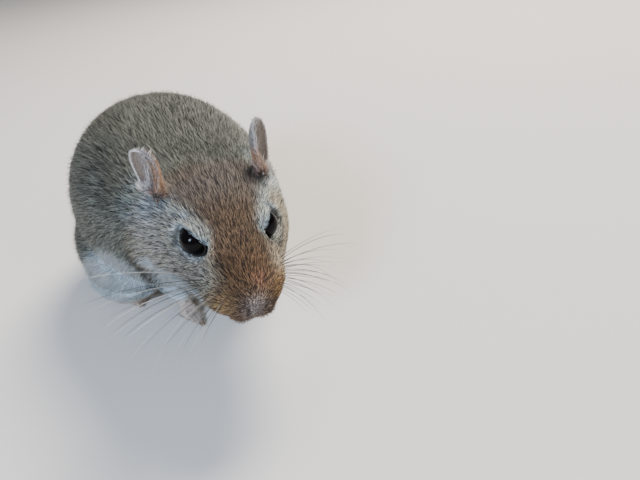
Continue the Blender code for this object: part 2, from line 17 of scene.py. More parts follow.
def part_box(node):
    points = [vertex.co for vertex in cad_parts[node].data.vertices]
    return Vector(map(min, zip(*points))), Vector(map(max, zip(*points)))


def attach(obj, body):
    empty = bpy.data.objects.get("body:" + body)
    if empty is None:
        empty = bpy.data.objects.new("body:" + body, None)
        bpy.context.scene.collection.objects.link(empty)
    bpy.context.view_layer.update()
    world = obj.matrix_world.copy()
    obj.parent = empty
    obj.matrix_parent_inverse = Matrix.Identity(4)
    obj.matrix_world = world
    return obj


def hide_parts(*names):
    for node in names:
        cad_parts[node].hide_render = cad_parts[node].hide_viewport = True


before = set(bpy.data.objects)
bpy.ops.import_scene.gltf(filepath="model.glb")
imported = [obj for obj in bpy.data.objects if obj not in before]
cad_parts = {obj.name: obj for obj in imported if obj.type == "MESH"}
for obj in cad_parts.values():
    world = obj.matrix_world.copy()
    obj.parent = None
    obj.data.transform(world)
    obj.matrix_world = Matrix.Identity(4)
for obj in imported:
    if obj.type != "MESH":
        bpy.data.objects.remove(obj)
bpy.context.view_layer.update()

MM = 0.001
SIDES = {"right": -1, "left": 1}
BODY = "root"
chance = np.random.default_rng(11)

# The camera, close by and above the animal's right shoulder
LENS, SENSOR, CAMERA_NEAR = 29.25, 36.0, 0.005
CAMERA_FROM_NOSE = Vector((-24.4, -84.2, 71.6)) * MM
CAMERA_HEADING, CAMERA_DIP, CAMERA_ROLL = 26.0, 33.0, -8.2

# Place, width, watts and colour of each light, what they all aim at, and the room's own light
LIGHTS = {
    "key": ((0.50, 0.24, 0.76), 0.42, 16.0, "fff3e4"),
    "window": ((-0.60, -0.50, 0.45), 0.24, 8.5, "cfe1ff"),
    "front": ((0.25, -0.75, 0.50), 0.6, 2.5, "ffffff"),
}
LIGHTS_AIM = (0, 0, 0.03)
ROOM_COLOUR, ROOM_LIGHT = "e2e6ea", 0.40

# How the head is held, and where the eyes lie in its frame
HEAD_YAW, HEAD_PITCH, HEAD_ROLL = -5.0, 20.0, 9.0
EYE_PLACE = Vector((7.7, 19.0, 5.3)) * MM
EYE_AXIS = Vector((0.88, -0.42, 0.22))
# The eyeball, the swelling of its cornea, and how far from its middle the lids count, in mm
EYE_RADIUS, CORNEA, EYE_REACH = 3.7 * MM, 0.22 * MM, 9
# Half widths of the opening between the lids, in mm round the eyeball: towards the nose, away from it, down,
# and up on the right eye and the left one; and its curve's power, where 1 is an ellipse and less is squarer
LID_FRONT, LID_BACK, LID_DROP = 4.9, 4.3, 3.9
LID_RISE = {-1: 3.2, 1: 3.7}
LID_CURVE = 0.84
# The share of the eyeball's radius past which those widths are measured along the face
LID_TURN = 0.94
# How far the skin lies under the eyeball's surface inside the lids, and how much higher outside them, in mm
LID_UNDER, LID_CLIMB = 0.6, 0.85
# The lids' bare edge: its radius and height over the eyeball in mm, and its furthest turn round it in radians
RIM_RADIUS, RIM_OVER, RIM_TURN = 0.22, 0.14, 1.35
# Stands for a place far from both eyes, as a share of the opening
FAR_OUT = 9.0

# The nostrils' slits, the cleft of the lip and the smooth round of the lips, in mm
NOSTRIL, NOSTRIL_RADII, NOSTRIL_DEPTH = (1.7, 0.6, -0.5), (0.45, 1.0, 0.6), 0.7
CLEFT_RADIUS, CLEFT_DEPTH = 0.35, 0.25
LIPS, LIPS_RADII = (0.0, 1.5, -4.5), (4.0, 4.0, 4.0)

# The tail's centre line from its root, as in the solid model
TAIL_ROOT_BEHIND_NOSE = Vector((3.0, 100.0, -12.0)) * MM
TAIL_LENGTH, TAIL_SINK, TAIL_TURN = 110.0 * MM, 34.0 * MM, 42.0
TAIL_RADIUS, TAIL_TIP_RADIUS, TAIL_STEPS = 3.9 * MM, 1.8 * MM, 60
# The powers of its flare and its bend, and, as shares of its radius, how high it lies and its bare core
TAIL_FLARE, TAIL_BEND, TAIL_LIE, TAIL_CORE = 6, 1.3, 0.94, 0.97

# The brush: its start and end on the tail, its hairs, and their least and further length and their width
TUFT_START, TUFT_END = 0.70, 0.995
BRUSH_HAIRS, BRUSH_SHORT, BRUSH_FURTHER, BRUSH_WIDTH = 2600, 3.0, 7.5, 0.42

# Skin: the solids it covers, its grain, its weld, how far the eyes' filling stands round the eyeballs, how
# far from the eyes and the nose it is finer, and the places on each solid that tell the body's parts
FLESH = ("head", "neck", "torso", "foreleg_left", "foreleg_right", "hind_leg_left", "hind_leg_right",
         "tail_base", "tail_middle")
SKIN_GRAIN, WELD, EYE_FILLING = 0.62 * MM, 0.01 * MM, 0.5 * MM
FINE_BY_EYE, FINE_BY_NOSE = 8.0 * MM, 7.0 * MM
PLACES_ON_SOLID = 6000

# Depth of the coat and length of its hairs, in mm, by distance behind the nose tip in mm
COAT_DEPTH = ((0, 0.2), (6, 0.35), (18, 0.6), (30, 1.0), (45, 1.6), (60, 1.8), (130, 1.8))
COAT_LENGTH = ((0, 0.8), (6, 1.5), (18, 2.2), (30, 2.9), (45, 3.9), (60, 4.4), (130, 4.4))
# Tufts on each square millimetre, and their width in mm, by the same distance
COAT_DENSITY = ((0, 26.0), (8, 21.0), (18, 17.0), (30, 14.0), (50, 11.5), (130, 10.5))
TUFT_WIDTH = ((0, 0.22), (10, 0.29), (25, 0.34), (45, 0.42), (130, 0.46))
# Depth of the coat in mm: on the hind feet, what the thighs add, on the forelegs, the tail and by the eyes
FOOT_DEPTH, THIGH_DEPTH, FORE_DEPTH, TAIL_DEPTH, EYE_DEPTH = 0.2, 2.0, 0.35, 0.4, 0.3
# Length and width in mm, tufts to a square mm and lift in degrees, at the foot, and their gain up the leg
HIND_COAT = (1.0, 0.19, 24, 18), (3.2, 0.10, -8, 0)
FORE_COAT = (0.9, 0.20, 24, 12), (1.8, 0, 0, 0)
TAIL_COAT = (2.6, 0.25, 17, 14), (0, 0, 0, 0)
BODY_LIFT = 20
# Tufts grown on each of the places that these tables ask for, and how deep they are rooted in mm
COAT_SHARE, ROOTED = 0.9, 0.08
# Guard hairs on the back: their share of the tufts, their length and width against the others', and how many
# degrees more they stand up
GUARD_SHARE, GUARD_LENGTH, GUARD_WIDTH, GUARD_LIFT = 0.12, 1.35, 0.6, 9
# Where the coat is cut into pieces: mm behind the nose, mm along the body, and how far up the skin faces
FACE_PIECE, AHEAD_PIECE, ABOVE_PIECE = 21, 4, 0.45
# Where along a strand it is widest and has its middle colour, and its least height over the floor
WAIST_AT, MIDDLE_AT, OVER_FLOOR = 0.4, 0.55, 0.05 * MM
# The patch of the colour map that one strand takes, and how much of it lies across and through the strand
BAKE_PATCH, BAKE_ACROSS, BAKE_THROUGH = 0.003, 0.3, 0.1
# How much hairs vary in brightness, and the shares of them with dark and with pale tips
HAIR_VARY, DARK_TIPPED, PALE_TIPPED = 0.26, 0.34, 0.38

# Colours of the coat as sRGB hex
BACK, FLANK, CROWN, BROW, MUZZLE = "666b69", "868c88", "655f5d", "58493d", "5b4735"
WHISKER_PAD, NOSE_PAD, BLUSH = "ae8d66", "9a8c86", "a57564"
CHEEK, EYE_RING, SPOT, WHITE, SHADE = "bcb6a8", "9caeb8", "b4c2cc", "d6e5ec", "3f3a34"
FOOT, TAIL_TOP, TAIL_UNDER, BRUSH = "c2a996", "7d6c55", "a8987f", "3d3228"
EAR_RUST, EAR_DOWN, EAR_INSIDE, EAR_RIM = "b98a62", "96928b", "877d75", "dad4d3"
WHISKER_ROOT, WHISKER_TIP, WHISKER_DARK = "241c17", "e8e4da", "3a312b"
CLAW, FLOOR = "8f7d6b", "dcdad6"
EYE_DARK, EYE_BROWN, RIM_DARK, RIM_BROWN = "050508", "0e0a0a", "120f0e", "2a2320"

# Where the markings lie, in mm. In the head's frame, by distance behind the nose: half width of the brown on
# the muzzle and crown, and the level under which the jaw is white
BROWN_EDGE = ((0, 5.2), (6, 5.6), (12, 6.2), (15, 5.8), (18, 6.2), (24, 9.5), (31, 13.0), (40, 20.0))
JAW_EDGE = ((2, -6.8), (7, -4.8), (9.5, -2.6), (30, -10.0), (38, -11.5))
# The pale streak from the eye to the ear, the jaw's fringe, the lip, and the line of painted shade in the
# crease behind the jaw; that line and the side's white edge, height by distance along the body, are in the
# solid model's own frame
STREAK = ((7.0, 16.0, 8.9), (8.3, 20.0, 9.0), (9.6, 23.4, 8.6), (11.2, 26.0, 7.6), (11.6, 30.0, 8.2))
FRINGE = ((15.5, 30.0, -12.0), (9.0, 10.0, -4.5), (5.5, 4.0, -4.0))
LIP = ((-3.7, 1.3, -2.6), (-1.5, 1.0, -3.6), (1.0, 1.0, -3.7), (2.6, 0.9, -2.5))
FOLD_SHADE_LINE = ((20.0, -28.6, 31.0), (18.8, -27.5, 26.3), (17.9, -22.9, 19.0), (18.6, -10.5, 10.5),
        (16.2, -12.8, 9.3))
WHITE_EDGE = ((-35, 20.0), (-29.5, 22.0), (-26.5, 29.0), (-20.5, 31.5), (-17.5, 31.5), (-8.4, 26.8),
              (2.4, 20.0), (7, 15.5), (12, 10.0), (26, 7.0), (60, 6.5))
# Spots on the face, each a colour, middle, radii and strength: under the eye's ring, and over it, where the
# second is painted light, a pale pool behind each ear
PADS = ((WHISKER_PAD, (6.4, 4.8, -1.2), (2.7, 3.4, 3.2), 1.2),)
SIDE_SPOTS_AND_PAINTED_LIGHT = ((SPOT, (14.1, 29.8, 6.0), (2.2, 2.6, 2.4), 1.1),
              # Painted light: a pale pool on the coat behind each ear
              (EYE_RING, (16.5, 36.0, 4.0), (5.5, 7.0, 5.5), 0.95))
MIDDLE_SPOTS = ((BLUSH, (1.8, 4.3, 3.7), (1.6, 1.8, 1.4), 0.35),
                (NOSE_PAD, (-0.1, 0.8, 0.0), (2.3, 2.0, 2.6), 1.3))

# Ears, as in the solid model
EAR_ROOT = Vector((14.0, 31.7, 8.6)) * MM
EAR_LENGTH, EAR_WIDTH, EAR_WALL = 13.2 * MM, 7.0 * MM, 0.4 * MM
EAR_CUP, EAR_CUP_AT_TIP = 190.0, 80.0
EAR_LEAN = {"right": 3.0, "left": -33.0}
EAR_SPLAY = {"right": 8.0, "left": -2.0}
EAR_TURN = {"right": 50.0, "left": 44.0}
# Shares of that width at its foot and added by its swelling, and the ear's height against the swelling's
EAR_FOOT, EAR_SWELL, EAR_SWELL_UP = 0.72, 0.5, 1.15
# The down on it: hairs, their width in mm, and how far up the rust reaches, as a share of the ear's height
EAR_HAIRS, EAR_HAIR_WIDTH = 3800, 0.19
RUST_TOP = {"right": 1.0, "left": 0.62}

# Whiskers, in mm: how far back and how high the first one stands, and the steps along a row and between rows
WHISKER_ROWS, WHISKERS_IN_ROW = 5, 5
WHISKER_START, WHISKER_TOP, WHISKER_STEP, WHISKER_SHIFT, WHISKER_DROP = 3.8, 2.6, 1.6, 0.25, 1.1
# Half width of the muzzle at the nose and its gain behind it; length and width of a row's first whisker, and
# what each further one gains
MUZZLE_HALF, MUZZLE_GAIN = 4.6, 0.42
WHISKER_LENGTH, WHISKER_LONGER, WHISKER_WIDTH, WHISKER_WIDER = 10.5, 4.0, 0.12, 0.012
# Root, direction, length and width of the whiskers over the eye
BROW_WHISKERS = (((6.0, 14.5, 9.3), (0.5, 0.2, 0.8), 8.0, 0.09),
                 ((6.0, 16.0, 9.3), (0.5, 0.2, 0.8), 8.0, 0.09))

# Feet, as in the solid model, in mm from the nose tip along the floor: turn, heel or wrist, digits (across,
# along, length, splay) and the digits' radius
FEET = {
    "hind": (4.0, (21.0, 26.0), ((-3.7, 17.5, 5.4, 16.0), (-2.2, 22.0, 7.4, 7.0), (0.0, 23.0, 8.0, 0.0),
                                 (2.1, 22.0, 7.4, -7.0), (3.7, 16.5, 5.0, -16.0)), 1.15),
    "fore": (-6.0, (11.0, -15.5), ((-2.6, 1.2, 2.4, 34.0), (-2.1, 4.6, 4.6, 12.0), (-0.7, 5.2, 5.2, 3.0),
                                  (0.8, 5.2, 5.0, -6.0), (2.2, 4.2, 4.0, -18.0)), 0.85),
}
# Claws: length and start past the digit's end in mm, and height and width as shares of the digit's radius
CLAW_LENGTH, CLAW_PAST, CLAW_RISE, CLAW_WIDTH = 1.8, 0.2, 1.1, 0.8

# The floor, in metres: how far it lies flat, and the radius of its sweep up
FLOOR_REACH, FLOOR_BEND = 2.4, 0.8


def linear(colour):
    """The linear colour of an sRGB hex string."""
    channels = np.array([int(colour[i : i + 2], 16) / 255 for i in (0, 2, 4)])
    return np.where(channels <= 0.04045, channels / 12.92, ((channels + 0.055) / 1.055) ** 2.4)


def ramp(value, low, high):
    """0 below low, 1 above high, eased between; low may be the larger."""
    share = np.clip((value - low) / (high - low), 0.0, 1.0)
    return share * share * (3 - 2 * share)


def table(pairs, value):
    """Values read from a table of pairs."""
    keys, values = zip(*pairs)
    return np.interp(value, keys, values)


# Frames

def head_turn():
    """The turn of the head's frame."""
    turn = Matrix.Rotation(radians(HEAD_YAW), 4, "Z") @ Matrix.Rotation(radians(HEAD_PITCH), 4, "X")
    return turn @ Matrix.Rotation(radians(HEAD_ROLL), 4, "Y")


def middle_of(node):
    """The middle of a solid's box."""
    low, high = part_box(node)
    return (low + high) / 2


def find_head_frame():
    """The head's frame, placed so that its two eyes fall on the solid model's."""
    between = (middle_of("eye_left") + middle_of("eye_right")) / 2
    nose = between - head_turn() @ Vector((0, EYE_PLACE.y, EYE_PLACE.z))
    return Matrix.Translation(nose) @ head_turn()


HEAD = find_head_frame()
NOSE = HEAD.translation
TAIL_ROOT = NOSE + TAIL_ROOT_BEHIND_NOSE
# The point of the floor where the solid model's own measures start
BODY_ORIGIN = Vector((NOSE.x + 3.0 * MM, NOSE.y + 66.0 * MM, 0))
TURN = np.array(HEAD.to_3x3())


def in_head(points):
    """Points in the head's frame, in millimetres."""
    return (points - np.array(NOSE)) @ TURN / MM


def foot_frame(kind, side):
    """A frame on the floor at a foot's heel or wrist, with the toes towards -y."""
    turn, heel, _, _ = FEET[kind]
    origin = Vector((heel[0] * side, heel[1], 0)) * MM + BODY_ORIGIN
    return Matrix.Translation(origin) @ Matrix.Rotation(radians(turn * side), 4, "Z")


def tail_radius(share):
    """The tail's radius at a share of its length, flared at its root."""
    return TAIL_RADIUS * (1 - share) ** TAIL_FLARE + TAIL_RADIUS + (TAIL_TIP_RADIUS - TAIL_RADIUS) * share


def tail_point(share):
    """A point of the tail's centre line, by its share of the tail's length."""
    sunk = float(ramp(share * TAIL_LENGTH / TAIL_SINK, 0, 1))
    point, count = Vector((TAIL_ROOT.x, TAIL_ROOT.y, 0)), share * TAIL_STEPS
    for k in range(int(count) + 1):
        heading = radians(TAIL_TURN) * (k / TAIL_STEPS) ** TAIL_BEND
        stride = TAIL_LENGTH / TAIL_STEPS * min(count - k, 1.0)
        point = point + Vector((sin(heading), cos(heading), 0)) * stride
    point.z = TAIL_ROOT.z + (tail_radius(share) * TAIL_LIE - TAIL_ROOT.z) * sunk
    return point


def tail_way(share):
    """Direction, level sideways direction and up of the tail at a share of its length."""
    step = 1 / TAIL_STEPS
    along = (tail_point(min(share + step, 1)) - tail_point(max(share - step, 0))).normalized()
    side = along.cross(Vector((0, 0, 1))).normalized()
    return along, side, side.cross(along)


# Making of meshes

def link(name, data):
    """An object of a mesh, a lamp or a camera, in the scene."""
    made = bpy.data.objects.new(name, data)
    bpy.context.scene.collection.objects.link(made)
    return made


def object_from(bm, name):
    """A smooth-shaded object that takes over a bmesh."""
    mesh = bpy.data.meshes.new(name)
    bm.to_mesh(mesh)
    bm.free()
    mesh.shade_smooth()
    return link(name, mesh)


def apply_modifiers(thing):
    graph = bpy.context.evaluated_depsgraph_get()
    mesh = bpy.data.meshes.new_from_object(thing.evaluated_get(graph))
    thing.modifiers.clear()
    thing.data = mesh


def coordinates(mesh):
    found = np.empty(len(mesh.vertices) * 3)
    mesh.vertices.foreach_get("co", found)
    return found.reshape(-1, 3)


def vertex_normals(mesh):
    found = np.empty(len(mesh.vertices) * 3)
    mesh.vertex_normals.foreach_get("vector", found)
    return found.reshape(-1, 3)


def edge_ends(mesh):
    found = np.empty(len(mesh.edges) * 2, dtype=np.int64)
    mesh.edges.foreach_get("vertices", found)
    return found.reshape(-1, 2)


def spread(mesh, values, rounds):
    """Averages a value of each vertex with its neighbours'."""
    ends, values = edge_ends(mesh), values.astype(float).reshape((len(values), -1))
    counts = np.bincount(ends.ravel(), minlength=len(values))[:, None]
    for _ in range(rounds):
        total = np.zeros_like(values)
        np.add.at(total, ends[:, 0], values[ends[:, 1]])
        np.add.at(total, ends[:, 1], values[ends[:, 0]])
        values = (values + total / np.maximum(counts, 1)) / 2
    return values


# Skin

def tube(segments, cuts, place):
    """A capped tube, made from a cylinder whose every point goes to place(share of the length, x, y)."""
    bm = bmesh.new()
    bmesh.ops.create_cone(bm, cap_ends=True, segments=segments, radius1=1.0, radius2=1.0, depth=1.0)
    upright = [edge for edge in bm.edges if abs(edge.verts[0].co.z - edge.verts[1].co.z) > 0.5]
    bmesh.ops.subdivide_edges(bm, edges=upright, cuts=cuts)
    for vert in bm.verts:
        vert.co = place(vert.co.z + 0.5, vert.co.x, vert.co.y)
    bmesh.ops.recalc_face_normals(bm, faces=bm.faces)
    return bm


def tail_core():
    """The bare tail inside its hairs."""
    def place(share, x, y):
        _, side, up = tail_way(share)
        return tail_point(share) + (side * x + up * y) * tail_radius(share) * TAIL_CORE

    return tube(16, TAIL_STEPS, place)


def eye_place(side):
    return HEAD @ Vector((EYE_PLACE.x * side, EYE_PLACE.y, EYE_PLACE.z))


def eye_frame(side):
    """A frame at an eye's centre: x across the opening and down, y along it and back, z out of the eye."""
    z = Vector((EYE_AXIS.x * side, EYE_AXIS.y, EYE_AXIS.z)).normalized()
    y = (Vector((0, 1, 0)) - z * z.y).normalized()
    x = y.cross(z) * side
    turn = Matrix((x, y, z)).transposed()
    return np.array(HEAD.to_3x3() @ turn), np.array(eye_place(side))


def in_eye(points, side):
    """Points in an eye's frame, in millimetres."""
    turn, centre = eye_frame(side)
    return (points - centre) @ turn / MM


def opening_share(local, side):
    """How far out in the lids' opening a place in an eye's frame lies, squared: 1 on the lids' edge."""
    ball = EYE_RADIUS / MM
    aside = np.hypot(local[:, 0], local[:, 1])
    turned = np.arcsin(np.minimum(aside / ball, LID_TURN)) * ball
    round_ball = turned + np.maximum(aside - LID_TURN * ball, 0)
    stretch = round_ball / np.maximum(aside, 0.01)
    x, y = local[:, 0] * stretch, local[:, 1] * stretch
    along = np.where(y > 0, LID_BACK, LID_FRONT)
    across = np.where(x > 0, LID_DROP, LID_RISE[side])
    return (y / along) ** 2 + np.abs(x / across) ** (2 / LID_CURVE)


def by_lids(points):
    """How far out from the nearer eye's opening points lie, 1 on its edge, and how far under it in mm."""
    out, under = np.full(len(points), FAR_OUT), np.zeros(len(points))
    for side in SIDES.values():
        local = in_eye(points, side)
        near = np.linalg.norm(local, axis=1) < EYE_REACH
        share = np.where(near, np.sqrt(opening_share(local, side)), FAR_OUT)
        under = np.where(share < out, local[:, 0], under)
        out = np.minimum(out, share)
    return out, under


def raw_body():
    """Every flesh solid in one mesh, with the eyes' hollows filled and the tail's brush bare."""
    bm = bmesh.new()
    for node in FLESH:
        bm.from_mesh(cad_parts[node].data)
    bmesh.ops.remove_doubles(bm, verts=bm.verts, dist=WELD)
    for side in SIDES.values():
        place = Matrix.Translation(eye_place(side))
        bmesh.ops.create_icosphere(bm, subdivisions=3, radius=EYE_RADIUS + EYE_FILLING, matrix=place)
    core = bpy.data.meshes.new("core")
    tail = tail_core()
    tail.to_mesh(core)
    tail.free()
    bm.from_mesh(core)
    bpy.data.meshes.remove(core)
    return object_from(bm, "skin")


def remeshed(thing, grain):
    maker = thing.modifiers.new("one_surface", "REMESH")
    maker.mode, maker.voxel_size, maker.use_smooth_shade = "VOXEL", grain, True
    apply_modifiers(thing)


def triangles(mesh):
    mesh.calc_loop_triangles()
    found = np.empty(len(mesh.loop_triangles) * 3, dtype=np.int64)
    mesh.loop_triangles.foreach_get("vertices", found)
    return found.reshape(-1, 3)


def face_areas(points, corners, weight):
    """The area of each triangle, times its corners' mean weight if there is one."""
    a, b, c = (points[corners[:, k]] for k in range(3))
    area = np.linalg.norm(np.cross(b - a, c - a), axis=1) / 2
    return area if weight is None else area * weight[corners].mean(axis=1)


def roots_on(mesh, weight, count):
    """count places on a mesh, evenly over its area or its area times a weight of each vertex.

    Returns the three vertices of each place's face and its share of each of them."""
    corners = triangles(mesh)
    total = np.cumsum(face_areas(coordinates(mesh), corners, weight))
    picks = (np.arange(count) + chance.random(count)) / count * total[-1]
    faces = np.searchsorted(total, picks).clip(0, len(corners) - 1)
    u, v = chance.random(count), chance.random(count)
    over = u + v > 1
    u[over], v[over] = 1 - u[over], 1 - v[over]
    return corners[faces], np.stack([1 - u - v, u, v], axis=1)


def at_roots(values, roots):
    """A value of the mesh's vertices, read at places on its faces."""
    corners, shares = roots
    if values.ndim == 1:
        return (values[corners] * shares).sum(axis=1)
    return (values[corners] * shares[:, :, None]).sum(axis=1)


def groups_of(points):
    """Whether points are of the head, trunk, hind legs, forelegs or tail, as 0 or 1, by the nearest solid."""
    kinds = {"head": 0, "neck": 1, "torso": 1, "hind_leg": 2, "foreleg": 3, "tail": 4}
    places, kind = [], []
    for node in (*FLESH, "tail_tip"):
        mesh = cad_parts[node].data
        found = at_roots(coordinates(mesh), roots_on(mesh, None, PLACES_ON_SOLID))
        places.append(found)
        key = next(word for word in kinds if node.startswith(word))
        kind += [kinds[key]] * len(found)
    tree = KDTree(len(kind))
    for k, place in enumerate(np.concatenate(places)):
        tree.insert(place, k)
    tree.balance()
    nearest = np.array([kind[tree.find(point)[1]] for point in points])
    return np.eye(5)[nearest]


def coat_depth(points, groups):
    """How far the skin lies under the tips of the coat, in mm."""
    head, trunk, hind, fore, tail = groups.T
    leg = FOOT_DEPTH + THIGH_DEPTH * ramp(points[:, 2] / MM, 6.0, 14.0)
    depth = table(COAT_DEPTH, in_head(points)[:, 1]) * (head + trunk)
    depth = depth + leg * hind + FORE_DEPTH * fore + TAIL_DEPTH * tail
    for side in SIDES.values():
        away = np.linalg.norm(points - np.array(eye_place(side)), axis=1) / MM
        depth = EYE_DEPTH + (depth - EYE_DEPTH) * ramp(away, 5.5, 9.5)
    return depth


def open_lids(points):
    """Sinks the skin inside each eye's opening, and sets the lids' edges close round the eyeball."""
    ball = EYE_RADIUS / MM
    for side in SIDES.values():
        local = in_eye(points, side)
        inside = opening_share(local, side)
        edge = ball - LID_UNDER + LID_CLIMB * ramp(inside, 0.85, 1.1)
        level = np.sqrt(np.maximum(edge**2 - local[:, 0] ** 2 - local[:, 1] ** 2, 0))
        near = (np.linalg.norm(local, axis=1) < ball + 3.5) & (local[:, 2] > -1.5)
        level = level + (local[:, 2] - level) * ramp(inside, 1.1, 1.7)
        local[:, 2] = np.where(near, level, local[:, 2])
        turn, centre = eye_frame(side)
        points = centre + (local * MM) @ turn.T
    return points


def nostrils(head):
    """1 in the middle of each nostril's slit, falling off round it."""
    return blob(one_side(head), NOSTRIL, NOSTRIL_RADII)


def carve_nose(points, normals):
    """The nostrils' slits, and the cleft from the nose to the lips."""
    head = in_head(points)
    cleft = np.exp(-((head[:, 0] / CLEFT_RADIUS) ** 2))
    cleft = cleft * ramp(head[:, 2], -1.2, -2.2) * ramp(head[:, 1], 4.0, 2.0)
    return points - normals * ((nostrils(head) * NOSTRIL_DEPTH + cleft * CLEFT_DEPTH) * MM)[:, None]


def refine_face(thing):
    """Splits the skin's faces round the eyes and the nose."""
    bm = bmesh.new()
    bm.from_mesh(thing.data)
    spots = [(eye_place(side), FINE_BY_EYE) for side in SIDES.values()] + [(NOSE, FINE_BY_NOSE)]
    near = {vert for vert in bm.verts if any((vert.co - spot).length < reach for spot, reach in spots)}
    edges = [edge for edge in bm.edges if edge.verts[0] in near and edge.verts[1] in near]
    bmesh.ops.subdivide_edges(bm, edges=edges, cuts=1, use_grid_fill=True)
    bm.to_mesh(thing.data)
    bm.free()


def set_coordinates(mesh, points):
    mesh.vertices.foreach_set("co", points.ravel())
    mesh.update()


def set_stain(mesh, colours):
    """Stores a linear colour for each vertex, for the materials to read."""
    stain = np.concatenate([colours, np.ones((len(colours), 1))], axis=1)
    store = mesh.color_attributes.new("coat", "FLOAT_COLOR", "POINT")
    store.data.foreach_set("color", stain.astype(np.float32).ravel())


def unit(vectors):
    return vectors / np.maximum(np.linalg.norm(vectors, axis=1, keepdims=True), 1e-9)


def make_skin():
    """The skin, inside the solids by the depth of the coat, with its lids and nostrils."""
    skin = raw_body()
    remeshed(skin, SKIN_GRAIN)
    refine_face(skin)
    mesh = skin.data
    points = coordinates(mesh)
    groups = spread(mesh, groups_of(points), 10)
    smooth = spread(mesh, points, 3)
    thigh = groups[:, 2] * ramp(points[:, 2] / MM, 8.0, 14.0)
    body = np.clip(groups[:, 0] + groups[:, 1] + thigh, 0, 1)[:, None]
    points = points + (smooth - points) * body
    lips = blob(in_head(points), LIPS, LIPS_RADII)[:, None]
    points = points + (spread(mesh, points, 14) - points) * lips * 0.9
    set_coordinates(mesh, points)
    outward = unit(spread(mesh, vertex_normals(mesh), 4))
    depth = spread(mesh, coat_depth(points, groups), 6)
    points = points - outward * depth * MM
    set_coordinates(mesh, points)
    points = open_lids(carve_nose(points, vertex_normals(mesh)))
    set_coordinates(mesh, points)
    return skin


# The lie and the markings of the coat

def tail_shares(points):
    """The share of the tail's length that lies nearest to each point."""
    tree, count = KDTree(TAIL_STEPS * 2 + 1), TAIL_STEPS * 2
    for k in range(count + 1):
        tree.insert(tail_point(k / count), k)
    tree.balance()
    return np.array([tree.find(point)[1] for point in points]) / count


def round_eyes(points, lie):
    """The lie, turned away from each eye where it would cross the lids."""
    out, _ = by_lids(points)
    for side in SIDES.values():
        turn, _ = eye_frame(side)
        local = in_eye(points, side)
        away = unit(local * (1, 1, 0)) @ turn.T
        near = ramp(out, 2.3, 1.1) * (np.linalg.norm(local, axis=1) < EYE_REACH)
        push = near * np.maximum(0.15 - (lie * away).sum(axis=1), 0)
        lie = lie + away * push[:, None]
    return lie


def along_skin(ways, normals):
    """Directions laid flat along the surface."""
    return unit(ways - normals * (ways * normals).sum(axis=1, keepdims=True))


def lie_of_coat(points, normals, groups, shares):
    """The way the hairs lie at each point, along the surface."""
    head = in_head(points)
    parting, thigh, foot, foreleg = (0.0, -5.0, 1.0), (0.0, 0.8, -0.6), (0.0, -1.0, -0.1), (0.0, -0.75, -0.65)
    face = unit(head - np.array(parting))
    cheek = ramp(np.abs(head[:, 0]), 6, 14) * ramp(head[:, 1], 12, 28)
    face[:, 2] -= 0.45 * cheek
    face = unit(face) @ TURN.T
    upright = np.clip(1 - normals[:, 2], 0, 1)
    trunk = np.stack([np.zeros(len(points)), np.ones(len(points)), -0.85 * upright], axis=1)
    forward = ramp(points[:, 2] / MM, 12, 6)[:, None]
    hind = np.array(thigh) * (1 - forward) + np.array(foot) * forward
    fore = np.tile(foreleg, (len(points), 1))
    ways = np.array([tail_way(k / TAIL_STEPS)[0] for k in range(TAIL_STEPS + 1)])
    tail = ways[np.rint(shares * TAIL_STEPS).astype(int)]
    lie = sum(groups[:, [k]] * way for k, way in enumerate((face, trunk, hind, fore, tail)))
    return along_skin(round_eyes(points, lie), normals)


def paint(colours, colour, weight):
    """Colours mixed with another one, given as hex, by a weight."""
    return colours + (linear(colour) - colours) * np.clip(weight, 0, 1)[:, None]


def blob(points, centre, radii):
    """1 at a centre, falling off evenly with the distance in radii."""
    away = (points - np.array(centre)) / np.array(radii)
    return np.exp(-(away**2).sum(axis=1))


def near_line(points, stops, radius):
    """1 on the straight lines between stops, falling off evenly with the distance in radii."""
    least = np.full(len(points), np.inf)
    for start, end in zip(np.array(stops[:-1]), np.array(stops[1:])):
        along = end - start
        share = np.clip((points - start) @ along / (along @ along), 0, 1)
        least = np.minimum(least, np.linalg.norm(points - start - share[:, None] * along, axis=1))
    return np.exp(-((least / radius) ** 2))


def one_side(points):
    """Points with both halves of the animal folded onto the left."""
    return np.abs(points) * (1, 0, 0) + points * (0, 1, 1)


def in_body(points):
    """Points in the solid model's own frame, in millimetres."""
    return (points - np.array(BODY_ORIGIN)) / MM


def paint_spots(colours, points, spots):
    """Paints each spot, which is a colour, a middle, radii and a strength."""
    for colour, middle, radii, strength in spots:
        colours = paint(colours, colour, blob(points, middle, radii) * strength)
    return colours


